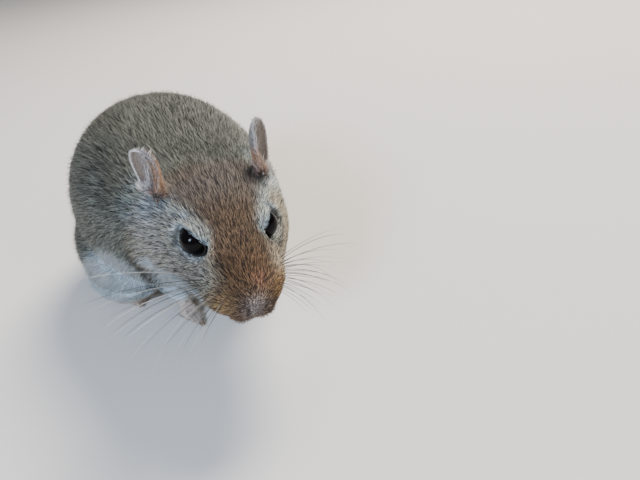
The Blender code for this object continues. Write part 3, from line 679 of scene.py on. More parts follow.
def face_colours(points, colours, front):
    """Paints the head: brown brow and muzzle, grey cheeks, pale rings, orange pads and a pinkish nose, with
    painted shade on the left cheek and in the nostrils and painted light behind the ears.
    """
    head = in_head(points)
    half = one_side(head)
    across, back = half[:, 0], half[:, 1]
    out, under = by_lids(points)
    colours = paint(colours, CROWN, front)
    colours = paint(colours, BROW, ramp(back, 27, 17))
    colours = paint(colours, MUZZLE, ramp(back, 15, 7))
    cheek = ramp(across - table(BROWN_EDGE, back), -1.6, 3.0) * front * ramp(back, 3.5, 8.5)
    colours = paint(colours, CHEEK, cheek)
    # Painted shade: the cheek on the animal's left alone is darkened towards brown, where the key lamp lights
    # it most
    colours = paint(colours, BROW, cheek * ramp(head[:, 0], 3, 9) * 0.45)
    colours = paint_spots(colours, half, PADS)
    ring = ramp(out, 1.6, 1.15) * (0.45 + 0.55 * ramp(under, 1.0, -2.0)) * ramp(back, 12.5, 15.5)
    colours = paint(colours, EYE_RING, np.maximum(ring, near_line(half, STREAK, 1.7) * 0.65))
    line = ramp(out, 1.18, 1.3) * ramp(out, 1.6, 1.45) * ramp(under, 0.5, 2.0)
    colours = paint(colours, SHADE, line * 0.5)
    # The pale spots by the ears, and painted light behind them
    colours = paint_spots(colours, half, SIDE_SPOTS_AND_PAINTED_LIGHT)
    colours = paint_spots(colours, head, MIDDLE_SPOTS)
    # Painted shade in the nostrils' slits
    return paint(colours, SHADE, nostrils(head) * 0.9)


def toe_gap_shade(points):
    """1 along the gaps between the digits of each foot, where shade is painted."""
    found = np.zeros(len(points))
    for side in SIDES.values():
        for kind, (_, _, digits, _) in FEET.items():
            placed = foot_frame(kind, side)
            local = (points - np.array(placed.translation)) @ np.array(placed.to_3x3())
            local = local / MM * (side, -1, 0)
            ends = [((across, along), (across + sin(radians(splay)) * length, along + length))
                    for across, along, length, splay in digits]
            for one, other in zip(ends, ends[1:]):
                gap = [((a[0] + b[0]) / 2, (a[1] + b[1]) / 2, 0.0) for a, b in zip(one, other)]
                found = np.maximum(found, near_line(local, gap, 0.32))
    return found


def markings(points, normals, groups, shares):
    """The coat's colour at each point but for the white parts, and how white it is there."""
    half = one_side(in_head(points))
    body = one_side(in_body(points))
    back, level, height = half[:, 1], half[:, 2], points[:, 2] / MM
    head, trunk, hind, fore, tail = groups.T
    colours = paint(np.tile(linear(BACK), (len(points), 1)), FLANK, ramp(normals[:, 2], 0.85, 0.4))
    colours = face_colours(points, colours, ramp(back, 46, 30) * head)
    # Painted shade: the crease behind the jaw darkened, more so higher up, and its white taken out
    fold_shade = near_line(body, FOLD_SHADE_LINE, 3.0) * (0.35 + 0.5 * ramp(body[:, 2], 12, 24))
    colours = paint(colours, SHADE, fold_shade)
    foot = np.clip(hind * ramp(height, 8, 5) + fore * ramp(height, 6, 4), 0, 1)
    colours = paint(colours, FOOT, foot * 0.8)
    # Painted shade in the gaps between the digits
    colours = paint(colours, SHADE, foot * toe_gap_shade(points) * 0.7)
    colours = paint(colours, TAIL_TOP, tail)
    colours = paint(colours, TAIL_UNDER, tail * ramp(normals[:, 2], 0.1, -0.5))
    colours = paint(colours, BRUSH, tail * ramp(shares, TUFT_START - 0.12, TUFT_START + 0.04))
    jaw = head * ramp(level - table(JAW_EDGE, back), 1.2, -1.2) * ramp(back, 1.5, 6.0)
    jaw = jaw * (1 - ramp(back, 30.0, 32.0) * ramp(level, -20, -17))
    side = ramp(body[:, 2] - table(WHITE_EDGE, body[:, 1]), 2.6, -2.6) * (trunk + hind)
    white = np.clip(np.maximum.reduce([jaw, side, fore * 0.85]), 0, 1)
    return colours, white * (1 - fold_shade) * (1 - 0.85 * foot) * (1 - tail)


class Coat:
    """What the skin says of the coat at each of its vertices."""

    def __init__(self, skin):
        mesh = skin.data
        self.mesh, self.points = mesh, coordinates(mesh)
        self.normals = unit(spread(mesh, vertex_normals(mesh), 2))
        self.groups = spread(mesh, groups_of(self.points), 10)
        shares = tail_shares(self.points)
        self.lie = unit(spread(mesh, lie_of_coat(self.points, self.normals, self.groups, shares), 6))
        self.colours, self.white = markings(self.points, self.normals, self.groups, shares)
        self.behind = in_head(self.points)[:, 1]
        self.height = self.points[:, 2] / MM
        self.lids, _ = by_lids(self.points)
        self.length, self.width, self.density, self.lift = self.growth()

    def bare_places(self):
        """1 where no hair grows: the eyes' openings, the nostrils and the soles."""
        slits = nostrils(in_head(self.points))
        bare = np.maximum(ramp(self.lids, 1.06, 1.0), ramp(slits, 0.3, 0.5))
        return np.maximum(bare, ramp(self.height, 0.9, 0.4))

    def by_ears(self, offset, radii):
        """1 at a place given from each ear's root, falling off round it."""
        return blob(one_side(in_head(self.points)), EAR_ROOT / MM + Vector(offset), radii)

    def growth(self):
        """Length and width in mm, tufts to a square mm and lift from the skin in degrees, at each vertex."""
        head, trunk, hind, fore, tail = self.groups.T
        by_lid, by_ear = ramp(self.lids, 1.9, 1.05), self.by_ears((0, -2.5, -1), (5.5, 5, 5))
        self.parted = np.clip(by_lid + 1.5 * self.by_ears((-3, -2, -1), (6, 5, 6)), 0, 1)
        fringe = near_line(one_side(in_head(self.points)), FRINGE, 3.2) * head
        lip = near_line(in_head(self.points), LIP, 1.3)
        belly = ramp(self.normals[:, 2], -0.3, -0.8) * trunk
        length = table(COAT_LENGTH, self.behind)
        length = length * (1 - 0.4 * by_lid + 0.5 * by_ear + 0.9 * fringe + 0.9 * lip)
        width = table(TUFT_WIDTH, self.behind) * (1 - 0.15 * by_lid)
        density = table(COAT_DENSITY, self.behind)
        density = density * (1 + 0.4 * by_lid + 0.6 * by_ear) * (1 - 0.4 * belly)
        high, body = ramp(self.height, 6, 15), head + trunk
        grown = []
        for k, measure in enumerate((length, width, density, BODY_LIFT)):
            measure = measure * body
            for part, (low, gain) in ((hind, HIND_COAT), (fore, FORE_COAT), (tail, TAIL_COAT)):
                measure = measure + (low[k] + gain[k] * high) * part
            grown.append(measure)
        length, width, density, lift = grown
        lift = lift + 5 * ramp(self.behind, 30, 60) * body + 6 * by_ear + 14 * fringe + 4 * by_lid + 22 * lip
        return length, width, density * (1 - self.bare_places()), lift

    def shaded_ground(self):
        """The skin's colour: the coat's, darkened by painted shade under long hair, and in full where it is
        bare.
        """
        foot = (self.groups[:, 2] + self.groups[:, 3]) * ramp(self.height, 8, 4)
        ears = self.by_ears((0, 0, 0), (6, 6, 6))
        # Painted shade: the skin darkened under the hair, less where it is white, at the feet and round the
        # ears
        share = 0.28 + 0.45 * self.white + 0.7 * foot + 0.4 * ears
        return paint(self.colours, WHITE, self.white) * np.clip(share, 0, 1)[:, None]


# Strands

def strand_pattern(sides, cuts):
    """A unit strand along +Z, closed and pointed: x, y and share of each point, and its triangles."""
    bm = bmesh.new()
    bmesh.ops.create_cone(bm, cap_ends=True, segments=sides, radius1=1.0, radius2=0.0, depth=1.0)
    bmesh.ops.remove_doubles(bm, verts=bm.verts, dist=1e-5)
    bmesh.ops.translate(bm, verts=bm.verts, vec=(0, 0, 0.5))
    for level in cuts:
        geometry = [*bm.verts, *bm.edges, *bm.faces]
        bmesh.ops.bisect_plane(bm, geom=geometry, plane_co=(0, 0, level), plane_no=(0, 0, 1))
    bmesh.ops.triangulate(bm, faces=bm.faces)
    bmesh.ops.recalc_face_normals(bm, faces=bm.faces)
    bm.verts.index_update()
    points = np.array([vert.co for vert in bm.verts])
    faces = np.array([[vert.index for vert in face.verts] for face in bm.faces])
    bm.free()
    round_out = np.maximum(np.linalg.norm(points[:, :2], axis=1, keepdims=True), 1e-6)
    points[:, :2] = np.where(points[:, 2:] > 0.999, 0.0, points[:, :2] / round_out)
    return points, faces


def triangle_mesh(name, points, faces):
    mesh = bpy.data.meshes.new(name)
    mesh.vertices.add(len(points))
    mesh.vertices.foreach_set("co", points.ravel())
    mesh.loops.add(faces.size)
    mesh.loops.foreach_set("vertex_index", faces.ravel())
    mesh.polygons.add(len(faces))
    mesh.polygons.foreach_set("loop_start", np.arange(len(faces)) * 3)
    mesh.update(calc_edges=True)
    return mesh


def strand_mesh(name, pattern, roots, normals, ways, length, width, lift, colours, unwrapped,
                flat=0.4, settle=0.45, curl=0.0, taper=0.75, waist=0.85):
    """A mesh of bent strands, one at each root. All lengths are in mm and lift is in degrees.

    colours holds the colour at the root, the middle and the tip of each strand."""
    unit_points, unit_faces = pattern
    share, count = unit_points[:, 2], len(roots)
    sides = unit(np.cross(normals, ways))
    angle = np.radians(lift)[:, None]
    along = share[None, :] * np.cos(angle)
    rise = share[None, :] * np.sin(angle) * (1 - settle * share[None, :])
    sweep = share[None, :] ** 2 * (curl * (chance.random(count) * 2 - 1))[:, None]
    reach = (length * MM)[:, None]
    centre = roots[:, None, :] + reach[:, :, None] * (
        along[:, :, None] * ways[:, None, :] + rise[:, :, None] * normals[:, None, :]
        + sweep[:, :, None] * sides[:, None, :])
    profile = (waist + (1 - waist) * np.minimum(share / WAIST_AT, 1)) * (1 - share**2.2) ** taper
    half = (width * MM / 2)[:, None] * profile[None, :]
    over = unit(normals * np.cos(angle) - ways * np.sin(angle))
    points = centre + (half * unit_points[:, 0])[:, :, None] * sides[:, None, :]
    points = points + (half * unit_points[:, 1] * flat)[:, :, None] * over[:, None, :]
    faces = (unit_faces[None, :, :] + (np.arange(count) * len(unit_points))[:, None, None]).reshape(-1, 3)
    points = points.reshape(-1, 3)
    points[:, 2] = np.maximum(points[:, 2], OVER_FLOOR)
    mesh = triangle_mesh(name, points, faces)
    low, middle, high = colours
    first = np.clip(1 - share / MIDDLE_AT, 0, 1)[None, :, None]
    last = np.clip((share - MIDDLE_AT) / (1 - MIDDLE_AT), 0, 1)[None, :, None]
    tint = low[:, None, :] * first + middle[:, None, :] * (1 - first - last) + high[:, None, :] * last
    set_stain(mesh, tint.reshape(-1, 3))
    across = unit_points[:, 0][None, :] * BAKE_ACROSS * BAKE_PATCH
    through = unit_points[:, 1][None, :] * BAKE_THROUGH * BAKE_PATCH
    u = (unwrapped[:, :1] + across + through).reshape(-1)
    v = (unwrapped[:, 1:] + (share - 0.5)[None, :] * BAKE_PATCH).reshape(-1)
    layer = mesh.uv_layers.new(name="OFBake")
    corner = faces.ravel()
    layer.data.foreach_set("uv", np.stack([u[corner], v[corner]], axis=1).astype(np.float32).ravel())
    mesh.shade_smooth()
    return link(name, mesh)


def hair_colours(colour, ticked, white, parted=0.0):
    """Root, middle and tip colours of agouti hairs: dark at the root, as agouti hair is and as painted shade
    deep in the coat, and some with dark or pale tips.

    Where the coat is parted, by the ears and lids, the roots show, and they are as pale as the skin there."""
    count = len(colour)
    shade = 1 + HAIR_VARY * (chance.random(count) * 2 - 1)
    draw, plain = chance.random(count), np.clip(white, 0, 1)
    dark = (draw < DARK_TIPPED * ticked) * (1 - 0.6 * plain)
    pale = (draw > 1 - PALE_TIPPED * ticked) * (1 - 0.7 * plain)
    warm = 1 + 0.07 * pale[:, None] * np.array((1, 0.8, -0.4))
    middle = colour * (shade * (0.77 + 0.18 * plain - 0.5 * dark + 0.72 * pale))[:, None]
    tip = colour * (shade * (1.02 - 0.92 * dark + 1.3 * pale))[:, None] * warm
    # Dark roots: the hair's own dark base, and painted shade deep among the hairs
    low = colour * (0.26 + 0.28 * plain - 0.14 * dark + 0.25 * pale + 0.4 * parted)[:, None]
    return [np.clip(part, 0, 1) for part in (low, middle, tip)]


def around(points, centre, along, up):
    """A map of a rounded form: the turn about an axis, and the distance along it."""
    across = np.cross(along, up)
    local = points - centre
    turn = np.arctan2(local @ across, local @ up) / (2 * pi) + 0.5
    reach = local @ along
    low, high = reach.min(), reach.max()
    return np.stack([0.01 + 0.98 * turn, 0.02 + 0.96 * (reach - low) / (high - low)], axis=1)


def grow_coat(coat):
    """The coat in pieces, each of one part of the body and one side."""
    area = face_areas(coat.points / MM, triangles(coat.mesh), coat.density).sum()
    roots = roots_on(coat.mesh, coat.density, int(area * COAT_SHARE))
    points, normals = at_roots(coat.points, roots), unit(at_roots(coat.normals, roots))
    count = len(points)
    lie = along_skin(at_roots(coat.lie, roots) + 0.16 * chance.standard_normal((count, 3)), normals)
    length = at_roots(coat.length, roots) * (0.75 + 0.5 * chance.random(count))
    width = at_roots(coat.width, roots) * (0.75 + 0.5 * chance.random(count))
    lift = at_roots(coat.lift, roots) + 5 * chance.standard_normal(count)
    guard = chance.random(count) < GUARD_SHARE * ramp(at_roots(coat.behind, roots), 20, 45)
    length[guard], width[guard] = length[guard] * GUARD_LENGTH, width[guard] * GUARD_WIDTH
    lift[guard] = lift[guard] + GUARD_LIFT
    white = at_roots(coat.white, roots)
    white = ramp(white + 1.6 * white * (1 - white) * chance.standard_normal(count), 0.3, 0.7)
    colour = paint(at_roots(coat.colours, roots), WHITE, white)
    tints = hair_colours(colour, np.ones(count), white, at_roots(coat.parted, roots))
    kind, left = at_roots(coat.groups, roots).argmax(axis=1), points[:, 0] > NOSE.x
    above, ahead = normals[:, 2] > ABOVE_PIECE, in_body(points)[:, 1] < AHEAD_PIECE
    face = in_head(points)[:, 1] < FACE_PIECE
    parts = {
        "face": (kind == 0) & face,
        "crown": (kind == 0) & ~face,
        "withers": (kind == 1) & above & ahead,
        "loin": (kind == 1) & above & ~ahead,
        "ribs": (kind == 1) & ~above & ahead,
        "rump": (kind == 1) & ~above & ~ahead,
        "hind": kind == 2,
        "fore": kind == 3,
        "tail": kind == 4,
    }
    back, up = np.array((0, 1.0, 0)), np.array((0, 0, 1.0))
    pattern = strand_pattern(3, ())
    pieces = []
    for word, mask in parts.items():
        axes = (up, back) if word in ("hind", "fore") else (back, up)
        for side_word, side_mask in (("right", ~left), ("left", left)):
            k = np.flatnonzero(mask & side_mask)
            unwrapped = around(points[k], points[k].mean(axis=0), *axes)
            pieces.append(strand_mesh(
                f"fur_{word}_{side_word}", pattern, points[k] - normals[k] * ROOTED * MM, normals[k], lie[k],
                length[k], width[k], lift[k], [tint[k] for tint in tints], unwrapped, curl=0.10))
    return pieces


def grow_brush():
    """The long dark hairs at the end of the tail."""
    count = BRUSH_HAIRS
    share = TUFT_START + (TUFT_END - TUFT_START) * chance.random(count) ** 0.8
    turn = 2 * pi * chance.random(count)
    ways = [tail_way(s) for s in share]
    along, side, up = (np.array([way[k] for way in ways]) for k in range(3))
    normals = side * np.cos(turn)[:, None] + up * np.sin(turn)[:, None]
    radius = np.array([tail_radius(s) for s in share])
    roots = np.array([tail_point(s) for s in share]) + normals * (radius * 0.75)[:, None]
    rising = ramp(share, TUFT_START, TUFT_START + 0.12)
    length = (BRUSH_SHORT + BRUSH_FURTHER * rising) * (0.7 + 0.5 * chance.random(count))
    dark = ramp(share, TUFT_START - 0.1, TUFT_START + 0.05)
    colour = paint(np.tile(linear(TAIL_TOP), (count, 1)), BRUSH, dark)
    lift = 13 + 9 * rising + 4 * chance.standard_normal(count)
    reach = (share - share.min()) / np.ptp(share)
    unwrapped = np.stack([0.01 + 0.98 * turn / (2 * pi), 0.02 + 0.96 * reach], axis=1)
    tints = hair_colours(colour, np.ones(count), np.zeros(count))
    return strand_mesh("fur_tail_brush", strand_pattern(3, (0.4, 0.75)), roots, normals, along, length,
                       np.full(count, BRUSH_WIDTH), lift, tints, unwrapped, curl=0.12)


# Ears

def ear_frame(word, side):
    """A frame at an ear's root, with z along the ear and y out of its back."""
    turn = Matrix.Rotation(radians(EAR_SPLAY[word] * side), 4, "Y")
    turn = turn @ Matrix.Rotation(radians(EAR_LEAN[word]), 4, "X")
    turn = turn @ Matrix.Rotation(radians(EAR_TURN[word] * side), 4, "Z")
    root = Vector((EAR_ROOT.x * side, EAR_ROOT.y, EAR_ROOT.z))
    return HEAD @ Matrix.Translation(root) @ turn


def make_ear(word, side):
    """A cupped ear: a sheet bent round its length, narrow at the root and round at the tip, with a wall."""
    across, along = 28, 24
    bm = bmesh.new()
    bmesh.ops.create_grid(bm, x_segments=across, y_segments=along, size=1.0)
    margin = bm.verts.layers.float.new("margin")
    for vert in bm.verts:
        share, rise = vert.co.x, (vert.co.y + 1) / 2
        height = EAR_LENGTH * sin(rise * pi / 2)
        swell = EAR_FOOT + EAR_SWELL * sin(pi * min(rise * EAR_SWELL_UP, 1.0))
        half = EAR_WIDTH / 2 * swell * max(cos(rise**3 * pi / 2), 0) ** 0.5
        bend = radians(EAR_CUP + (EAR_CUP_AT_TIP - EAR_CUP) * rise)
        radius, turn = 2 * half / bend, share * bend / 2
        vert.co = (radius * sin(turn) * side, radius * (cos(turn) - cos(bend / 2)), height)
        vert[margin] = max(abs(share), rise**4)
    bmesh.ops.remove_doubles(bm, verts=bm.verts, dist=0.02 * MM)
    bmesh.ops.transform(bm, matrix=ear_frame(word, side), verts=bm.verts)
    bmesh.ops.recalc_face_normals(bm, faces=bm.faces)
    ear = object_from(bm, "ear_shell_" + word)
    wall = ear.modifiers.new("wall", "SOLIDIFY")
    wall.thickness, wall.offset = EAR_WALL, 0.0
    apply_modifiers(ear)
    ear.data.shade_smooth()
    return ear


def ear_places(ear, word, side):
    """At each vertex of an ear: its height as a share of the ear's, how far forward it lies in mm, 1 on the
    ear's back and 0 in its cup, and 1 at its free edge."""
    mesh = ear.data
    placed = ear_frame(word, side)
    turn = np.array(placed.to_3x3())
    local = (coordinates(mesh) - np.array(placed.translation)) @ turn
    outer = ramp((vertex_normals(mesh) @ turn)[:, 1], -0.1, 0.4)
    edge = np.empty(len(local))
    mesh.attributes["margin"].data.foreach_get("value", edge)
    return local[:, 2] / EAR_LENGTH, -local[:, 0] * side / MM, outer, edge


def stain_ear(ear, word, side):
    """Colours the ear's skin: dull inside, pale along its edge."""
    _, _, outer, edge = ear_places(ear, word, side)
    colours = paint(np.tile(linear(EAR_INSIDE), (len(edge), 1)), EAR_RIM, ramp(edge, 0.9, 0.99))
    colours = paint(colours, EAR_DOWN, outer * 0.5)
    set_stain(ear.data, colours)


def ear_hair(ear, word, side):
    """Down on the ear: white at the edge and in streaks inside, rust along the front and long at the base."""
    mesh, count = ear.data, EAR_HAIRS
    rise, forward, outer, edge = ear_places(ear, word, side)
    front, low = ramp(forward, -0.9, 0.5), ramp(rise, 0.28, 0.02)
    streak = (1 - outer) * ramp(forward, -2.4, -1.2) * (1 - front)
    streak = streak * ramp(np.sin(forward * 6 + rise * 10), 0.3, 0.8)
    weight = 0.25 + 0.6 * outer + 1.1 * front + 1.4 * low + 0.5 * streak + 0.8 * ramp(edge, 0.9, 0.98)
    roots = roots_on(mesh, weight, count)
    place, normal = at_roots(coordinates(mesh), roots), unit(at_roots(vertex_normals(mesh), roots))
    forward, high, low, streak, edge = (at_roots(v, roots) for v in (forward, rise, low, streak, edge))
    front = ramp(forward + 0.4 * chance.standard_normal(count), -0.9, 0.5)
    turn = np.array(ear_frame(word, side).to_3x3())
    way = turn[:, 2] - (turn[:, 0] * side)[None, :] * (0.5 * front)[:, None]
    way = way + (0.3 * turn[:, 0] * side) * low[:, None]
    way = along_skin(way + 0.2 * chance.standard_normal((count, 3)), normal)
    rim = ramp(edge, 0.91, 0.98) * 0.9
    colour = paint(np.tile(linear(EAR_DOWN), (count, 1)), EAR_RIM, np.maximum.reduce([streak, rim, low]))
    top = RUST_TOP[word]
    rust = front * ramp(high, top, top - 0.35) * (0.45 + 0.55 * chance.random(count))
    colour = paint(colour, EAR_RUST, rust)
    colour = paint(colour, CROWN, front * ramp(high, 0.25, 0.0) * 0.6)
    length = 0.6 + 0.9 * front + 1.6 * low + 1.6 * streak * ramp(high, 0.9, 0.4)
    length = length * (0.7 + 0.6 * chance.random(count))
    lift = 12 + 10 * front + 8 * low
    tints = hair_colours(colour, np.full(count, 0.35), 1 - 0.3 * front)
    unwrapped = np.stack([0.5 + 0.06 * forward, 0.05 + 0.85 * high.clip(0, 1)], axis=1)
    return strand_mesh("fur_ear_" + word, strand_pattern(3, (0.5,)), place, normal, way, length,
                       np.full(count, EAR_HAIR_WIDTH), lift, tints, unwrapped, curl=0.12)


# Eyes, whiskers and claws

def make_eye(word, side):
    """The eyeball, its cornea swelling a little along the eye's axis."""
    bm = bmesh.new()
    bmesh.ops.create_uvsphere(bm, u_segments=48, v_segments=32, radius=EYE_RADIUS)
    for vert in bm.verts:
        share = max(vert.co.z / EYE_RADIUS, 0)
        vert.co.z += CORNEA * share**6
    turn, centre = eye_frame(side)
    z = Vector(turn[:, 2])
    matrix = Matrix.Translation(Vector(centre)) @ z.to_track_quat("Z", "Y").to_matrix().to_4x4()
    bmesh.ops.transform(bm, matrix=matrix, verts=bm.verts)
    return object_from(bm, "eyeball_" + word)


def make_lid_rim(word, side):
    """The bare dark edge of the lids: a thin ring along the opening's outline."""
    bm = bmesh.new()
    wide = 4
    ring = bmesh.ops.create_circle(bm, segments=8, radius=1.0)["verts"]
    bmesh.ops.translate(bm, verts=ring, vec=(wide, 0, 0))
    bmesh.ops.rotate(bm, verts=ring, cent=(wide, 0, 0), matrix=Matrix.Rotation(pi / 2, 3, "X"))
    edges = list({edge for vert in ring for edge in vert.link_edges})
    bmesh.ops.spin(bm, geom=[*ring, *edges], cent=(0, 0, 0), axis=(0, 0, 1), steps=56, angle=2 * pi,
                   use_merge=True)
    turn, centre = eye_frame(side)
    reach = EYE_RADIUS / MM + RIM_OVER
    for vert in bm.verts:
        x, y, z = vert.co
        angle, out = np.arctan2(y, x), (np.hypot(x, y) - wide) * RIM_RADIUS
        rise = LID_DROP if cos(angle) > 0 else LID_RISE[side]
        run = LID_BACK if sin(angle) > 0 else LID_FRONT
        across = rise * np.sign(cos(angle)) * abs(cos(angle)) ** LID_CURVE
        round_ball = np.hypot(across, run * sin(angle))
        turned = min(round_ball * MM / EYE_RADIUS, RIM_TURN)
        aside = np.array((across, run * sin(angle), 0.0)) / round_ball
        outward = aside * sin(turned) + np.array((0, 0, cos(turned)))
        spot = outward * reach
        aside = aside * cos(turned) - np.array((0, 0, sin(turned)))
        vert.co = Vector(centre + turn @ (spot + outward * z * RIM_RADIUS + aside * out) * MM)
    bmesh.ops.recalc_face_normals(bm, faces=bm.faces)
    return object_from(bm, "lid_rim_" + word)


def whisker_rows(side):
    """Root and direction of each whisker in the head's frame, its length in mm and its width in mm."""
    found = []
    for row in range(WHISKER_ROWS):
        for place in range(WHISKERS_IN_ROW):
            along = WHISKER_START + place * WHISKER_STEP + row * WHISKER_SHIFT
            root = (side * (MUZZLE_HALF + MUZZLE_GAIN * along), along, WHISKER_TOP - WHISKER_DROP * row)
            way = (side * 1.0, -0.60 + 0.26 * place - 0.04 * row, -0.02 - 0.17 * row)
            length = WHISKER_LENGTH + WHISKER_LONGER * place + 3.0 * chance.random()
            found.append((root, way, length, WHISKER_WIDTH + WHISKER_WIDER * place))
    for (x, y, z), (way_x, way_y, way_z), length, width in BROW_WHISKERS:
        found.append(((side * x, y, z), (side * way_x, way_y, way_z), length, width))
    return found


def make_whiskers(skin, word, side):
    """The whiskers of one side, the pale ones dark at the root and every third dark all along."""
    rows = whisker_rows(side)
    roots, ways = [], []
    for root, way, _, _ in rows:
        _, spot, _, _ = skin.closest_point_on_mesh(HEAD @ (Vector(root) * MM))
        roots.append(spot)
        ways.append(HEAD.to_3x3() @ Vector(way))
    count = len(rows)
    roots, ways = np.array(roots), unit(np.array(ways) + 0.05 * chance.standard_normal((count, 3)))
    bow = unit(np.cross(np.cross(ways, (0, 0, 1.0)), ways))
    length, width = (np.array([row[k] for row in rows]) for k in (2, 3))
    black = np.arange(count)[:, None] % 3 == 0
    tip = np.where(black, linear(WHISKER_DARK), linear(WHISKER_TIP))
    low = np.tile(linear(WHISKER_ROOT), (count, 1))
    unwrapped = np.stack([np.linspace(0.05, 0.95, count), np.full(count, 0.5)], axis=1)
    pattern = strand_pattern(5, (0.15, 0.3, 0.45, 0.6, 0.75, 0.88))
    return strand_mesh("whiskers_" + word, pattern, roots, bow, ways, length, width, np.full(count, 6.0),
                       (low, (low + tip) / 2, tip), unwrapped, flat=1.0, settle=2.6, curl=0.05, taper=0.9,
                       waist=1.0)


def claws_of(word, side, kind):
    """The claws of one foot, each a curved horn at the tip of a digit."""
    _, _, digits, radius = FEET[kind]
    placed = foot_frame(kind, side)
    roots, ways = [], []
    for across, along, length, splay in digits:
        way = Vector((-sin(radians(-splay * side)), -cos(radians(-splay * side)), 0))
        start = Vector((across * side, -along, radius * CLAW_RISE)) * MM
        roots.append(placed @ (start + way * (length + CLAW_PAST) * MM))
        ways.append(placed.to_3x3() @ way)
    count = len(digits)
    colour = np.tile(linear(CLAW), (count, 1))
    unwrapped = np.stack([np.linspace(0.1, 0.9, count), np.full(count, 0.5)], axis=1)
    return strand_mesh(f"claws_{kind}_{word}", strand_pattern(8, (0.2, 0.4, 0.6, 0.8)), np.array(roots),
                       np.tile((0, 0, 1.0), (count, 1)), unit(np.array(ways)), np.full(count, CLAW_LENGTH),
                       np.full(count, radius * CLAW_WIDTH), np.full(count, 10.0),
                       (colour * 0.8, colour, colour * 1.5), unwrapped, flat=0.9, settle=2.2, taper=0.8,
                       waist=1.0)


# Materials

def add_node(tree, kind, settings=None, **links):
    """Adds a node: settings give its properties and its inputs' values, links join its inputs to outputs."""
    node = tree.nodes.new(kind)
    for key, value in (settings or {}).items():
        if key in node.inputs:
            node.inputs[key].default_value = value
        else:
            setattr(node, key, value)
    for key, source in links.items():
        tree.links.new(source, node.inputs[key.replace("_", " ")])
    return node


def new_material(name, **settings):
    """A material with only its Principled shader, whose sockets are set by name."""
    made = bpy.data.materials.new(name)
    made.use_nodes = True
    shader = made.node_tree.nodes["Principled BSDF"]
    for key, value in settings.items():
        shader.inputs[key.replace("_", " ")].default_value = value
    return made, made.node_tree, shader


def mottled(tree, size, detail, limits):
    """The coat's colours, their brightness broken up by noise of a size: the colour, and the noise."""
    stain = add_node(tree, "ShaderNodeVertexColor", {"layer_name": "coat"})
    place = add_node(tree, "ShaderNodeTexCoord")
    noise = add_node(tree, "ShaderNodeTexNoise", {"Scale": 1 / size, "Detail": detail},
                     Vector=place.outputs["Object"])
    value = add_node(tree, "ShaderNodeMapRange", limits, Value=noise.outputs["Fac"])
    tone = add_node(tree, "ShaderNodeHueSaturation", {}, Color=stain.outputs["Color"],
                    Value=value.outputs["Result"])
    return tone.outputs["Color"], noise.outputs["Fac"]


def fur_material():
    """Live hair: keratin rods with a soft broad shine, darker and lighter in patches of some millimetres."""
    made, tree, shader = new_material("gerbil_fur", Roughness=0.62, IOR=1.55, Specular_IOR_Level=0.28)
    limits = {"To Min": 0.86, "To Max": 1.14, "From Min": 0.3, "From Max": 0.7}
    colour, _ = mottled(tree, 9 * MM, 3.0, limits)
    tree.links.new(colour, shader.inputs["Base Color"])
    return made


def skin_material():
    """Skin under the coat: matt, creased, and stained with the coat's own colours by the down on it, darkened
    by painted shade under the hair.
    """
    made, tree, shader = new_material("gerbil_skin", Roughness=0.75, IOR=1.4, Specular_IOR_Level=0.25)
    colour, creases = mottled(tree, 0.35 * MM, 4.0, {"To Min": 0.7, "To Max": 1.3})
    bump = add_node(tree, "ShaderNodeBump", {"Strength": 0.5, "Distance": 0.2 * MM}, Height=creases)
    tree.links.new(colour, shader.inputs["Base Color"])
    tree.links.new(bump.outputs["Normal"], shader.inputs["Normal"])
    return made


def ear_material():
    """Thin ear skin: dull gristle with fine vessels, pale where it thins to its edge."""
    made, tree, shader = new_material("ear_skin", Roughness=0.6, IOR=1.4, Specular_IOR_Level=0.3,
                                      Subsurface_Weight=0.12, Subsurface_Scale=0.8 * MM)
    colour, vessels = mottled(tree, 1.6 * MM, 5.0, {"To Min": 0.75, "To Max": 1.25})
    bump = add_node(tree, "ShaderNodeBump", {"Strength": 0.3, "Distance": 0.15 * MM}, Height=vessels)
    tree.links.new(colour, shader.inputs["Base Color"])
    tree.links.new(bump.outputs["Normal"], shader.inputs["Normal"])
    return made


def blended(tree, shader, size, first, second):
    """Colours a shader with two hex colours, blended by noise of a size."""
    place = add_node(tree, "ShaderNodeTexCoord")
    noise = add_node(tree, "ShaderNodeTexNoise", {"Scale": 1 / size}, Vector=place.outputs["Object"])
    mix = add_node(tree, "ShaderNodeMix", {"data_type": "RGBA"})
    mix.inputs[6].default_value = (*linear(first), 1)
    mix.inputs[7].default_value = (*linear(second), 1)
    tree.links.new(noise.outputs["Fac"], mix.inputs[0])
    tree.links.new(mix.outputs[2], shader.inputs["Base Color"])


def eye_material():
    """A wet black eye: a nearly black iris under a clear, mirror-smooth cornea."""
    made, tree, shader = new_material("wet_eye", Roughness=0.04, IOR=1.33, Specular_IOR_Level=0.16)
    blended(tree, shader, 1.5 * MM, EYE_DARK, EYE_BROWN)
    return made


def rim_material():
    """The bare edge of the lids: moist, dark grey-brown skin."""
    made, tree, shader = new_material("lid_skin", Roughness=0.6, IOR=1.4)
    blended(tree, shader, 0.3 * MM, RIM_DARK, RIM_BROWN)
    return made


def horn_material():
    """Claws and whiskers: smooth horn, darker at the root, with fine growth lines."""
    made, tree, shader = new_material("claw_horn", Roughness=0.32, IOR=1.54)
    stain = add_node(tree, "ShaderNodeVertexColor", {"layer_name": "coat"})
    place = add_node(tree, "ShaderNodeTexCoord")
    lines = add_node(tree, "ShaderNodeTexNoise", {"Scale": 1 / (0.2 * MM)}, Vector=place.outputs["Object"])
    bump = add_node(tree, "ShaderNodeBump", {"Strength": 0.2, "Distance": 0.05 * MM},
                    Height=lines.outputs["Fac"])
    tree.links.new(stain.outputs["Color"], shader.inputs["Base Color"])
    tree.links.new(bump.outputs["Normal"], shader.inputs["Normal"])
    return made


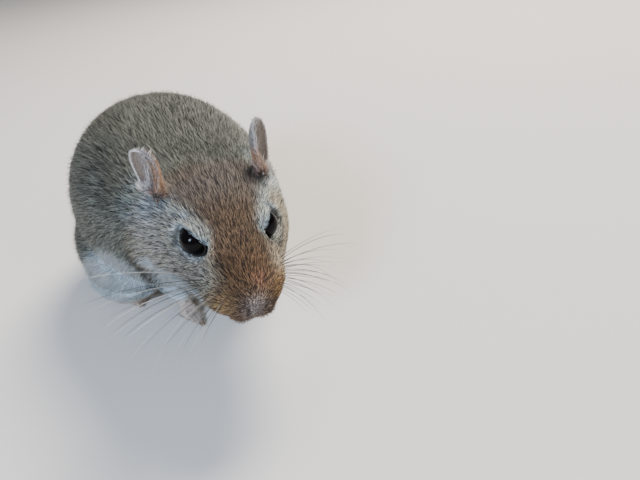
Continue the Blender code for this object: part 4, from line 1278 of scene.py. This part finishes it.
def floor_material():
    """A pale, matt floor, so that the animal is seen against one even tone."""
    made, _, shader = new_material("pale_floor", Roughness=0.8)
    shader.inputs["Base Color"].default_value = (*linear(FLOOR), 1)
    return made


# Studio

def make_floor():
    """A round floor that sweeps up into a wall on every side."""
    bm = bmesh.new()
    rim = bm.verts.new((FLOOR_REACH, 0, 0))
    middle = bm.verts.new((0, 0, 0))
    bm.edges.new((middle, rim))
    bend = bmesh.ops.spin(bm, geom=[rim], cent=(FLOOR_REACH, 0, FLOOR_BEND), axis=(0, 1, 0), steps=16,
                          angle=-pi / 2)
    top = [item for item in bend["geom_last"] if isinstance(item, bmesh.types.BMVert)]
    up = bmesh.ops.extrude_vert_indiv(bm, verts=top)
    bmesh.ops.translate(bm, verts=up["verts"], vec=(0, 0, FLOOR_BEND))
    bmesh.ops.spin(bm, geom=[*bm.verts, *bm.edges], cent=(0, 0, 0), axis=(0, 0, 1), steps=96, angle=2 * pi,
                   use_merge=True)
    bmesh.ops.remove_doubles(bm, verts=bm.verts, dist=MM)
    bmesh.ops.recalc_face_normals(bm, faces=bm.faces)
    bmesh.ops.reverse_faces(bm, faces=bm.faces)
    return object_from(bm, "floor")


def add_light(name, place, size, power, colour):
    """A round lamp turned to the animal."""
    lamp = bpy.data.lights.new(name, "AREA")
    lamp.shape, lamp.size, lamp.energy = "DISK", size, power
    lamp.color = linear(colour)
    turn = (Vector(LIGHTS_AIM) - Vector(place)).to_track_quat("-Z", "Y").to_matrix().to_4x4()
    link(name, lamp).matrix_world = Matrix.Translation(place) @ turn


def light_room():
    """The lamps, and the room's even light."""
    for name, (place, size, power, colour) in LIGHTS.items():
        add_light(name, place, size, power, colour)
    world = bpy.data.worlds.new("room")
    world.use_nodes = True
    sky = world.node_tree.nodes["Background"]
    sky.inputs["Color"].default_value = (*linear(ROOM_COLOUR), 1)
    sky.inputs["Strength"].default_value = ROOM_LIGHT
    bpy.context.scene.world = world


def make_camera():
    """The camera of the photo's view."""
    heading, dip, roll = (radians(a) for a in (CAMERA_HEADING, CAMERA_DIP, CAMERA_ROLL))
    level, up = Vector((sin(heading), cos(heading), 0)), Vector((0, 0, 1))
    right = level.cross(up)
    look = level * cos(dip) - up * sin(dip)
    down = -(up * cos(dip) + level * sin(dip))
    across = right * cos(roll) - down * sin(roll)
    below = right * sin(roll) + down * cos(roll)
    lens = bpy.data.cameras.new("camera")
    lens.lens, lens.sensor_width, lens.clip_start = LENS, SENSOR, CAMERA_NEAR
    made = link("camera", lens)
    turn = Matrix((across, -below, -look)).transposed().to_4x4()
    made.matrix_world = Matrix.Translation(NOSE + CAMERA_FROM_NOSE) @ turn
    bpy.context.scene.camera = made


def finish_piece(thing, material, slot, *nodes):
    """Gives a piece its one material and the solids it stands for; the slot is not used."""
    thing.data.materials.clear()
    thing.data.materials.append(material)
    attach(thing, BODY)
    if nodes:
        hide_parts(*nodes)


def main():
    make_camera()
    fur, horn = fur_material(), horn_material()
    skin = make_skin()
    coat = Coat(skin)
    set_stain(skin.data, coat.shaded_ground())
    finish_piece(skin, skin_material(), "coat", *FLESH, "tail_tip")
    for piece in grow_coat(coat):
        finish_piece(piece, fur, "tail_coat" if "tail" in piece.name else "coat")
    finish_piece(grow_brush(), fur, "tail_coat")
    ears, eyes, rims = ear_material(), eye_material(), rim_material()
    for word, side in SIDES.items():
        ear = make_ear(word, side)
        stain_ear(ear, word, side)
        finish_piece(ear_hair(ear, word, side), fur, "coat")
        finish_piece(ear, ears, "skin", "ear_" + word)
        finish_piece(make_eye(word, side), eyes, "eye", "eye_" + word)
        finish_piece(make_lid_rim(word, side), rims, "skin")
        finish_piece(make_whiskers(skin, word, side), horn, "coat")
        for kind in FEET:
            finish_piece(claws_of(word, side, kind), horn, "skin")
    floor = make_floor()
    floor.data.materials.append(floor_material())
    light_room()


main()
bpy.context.view_layer.update()
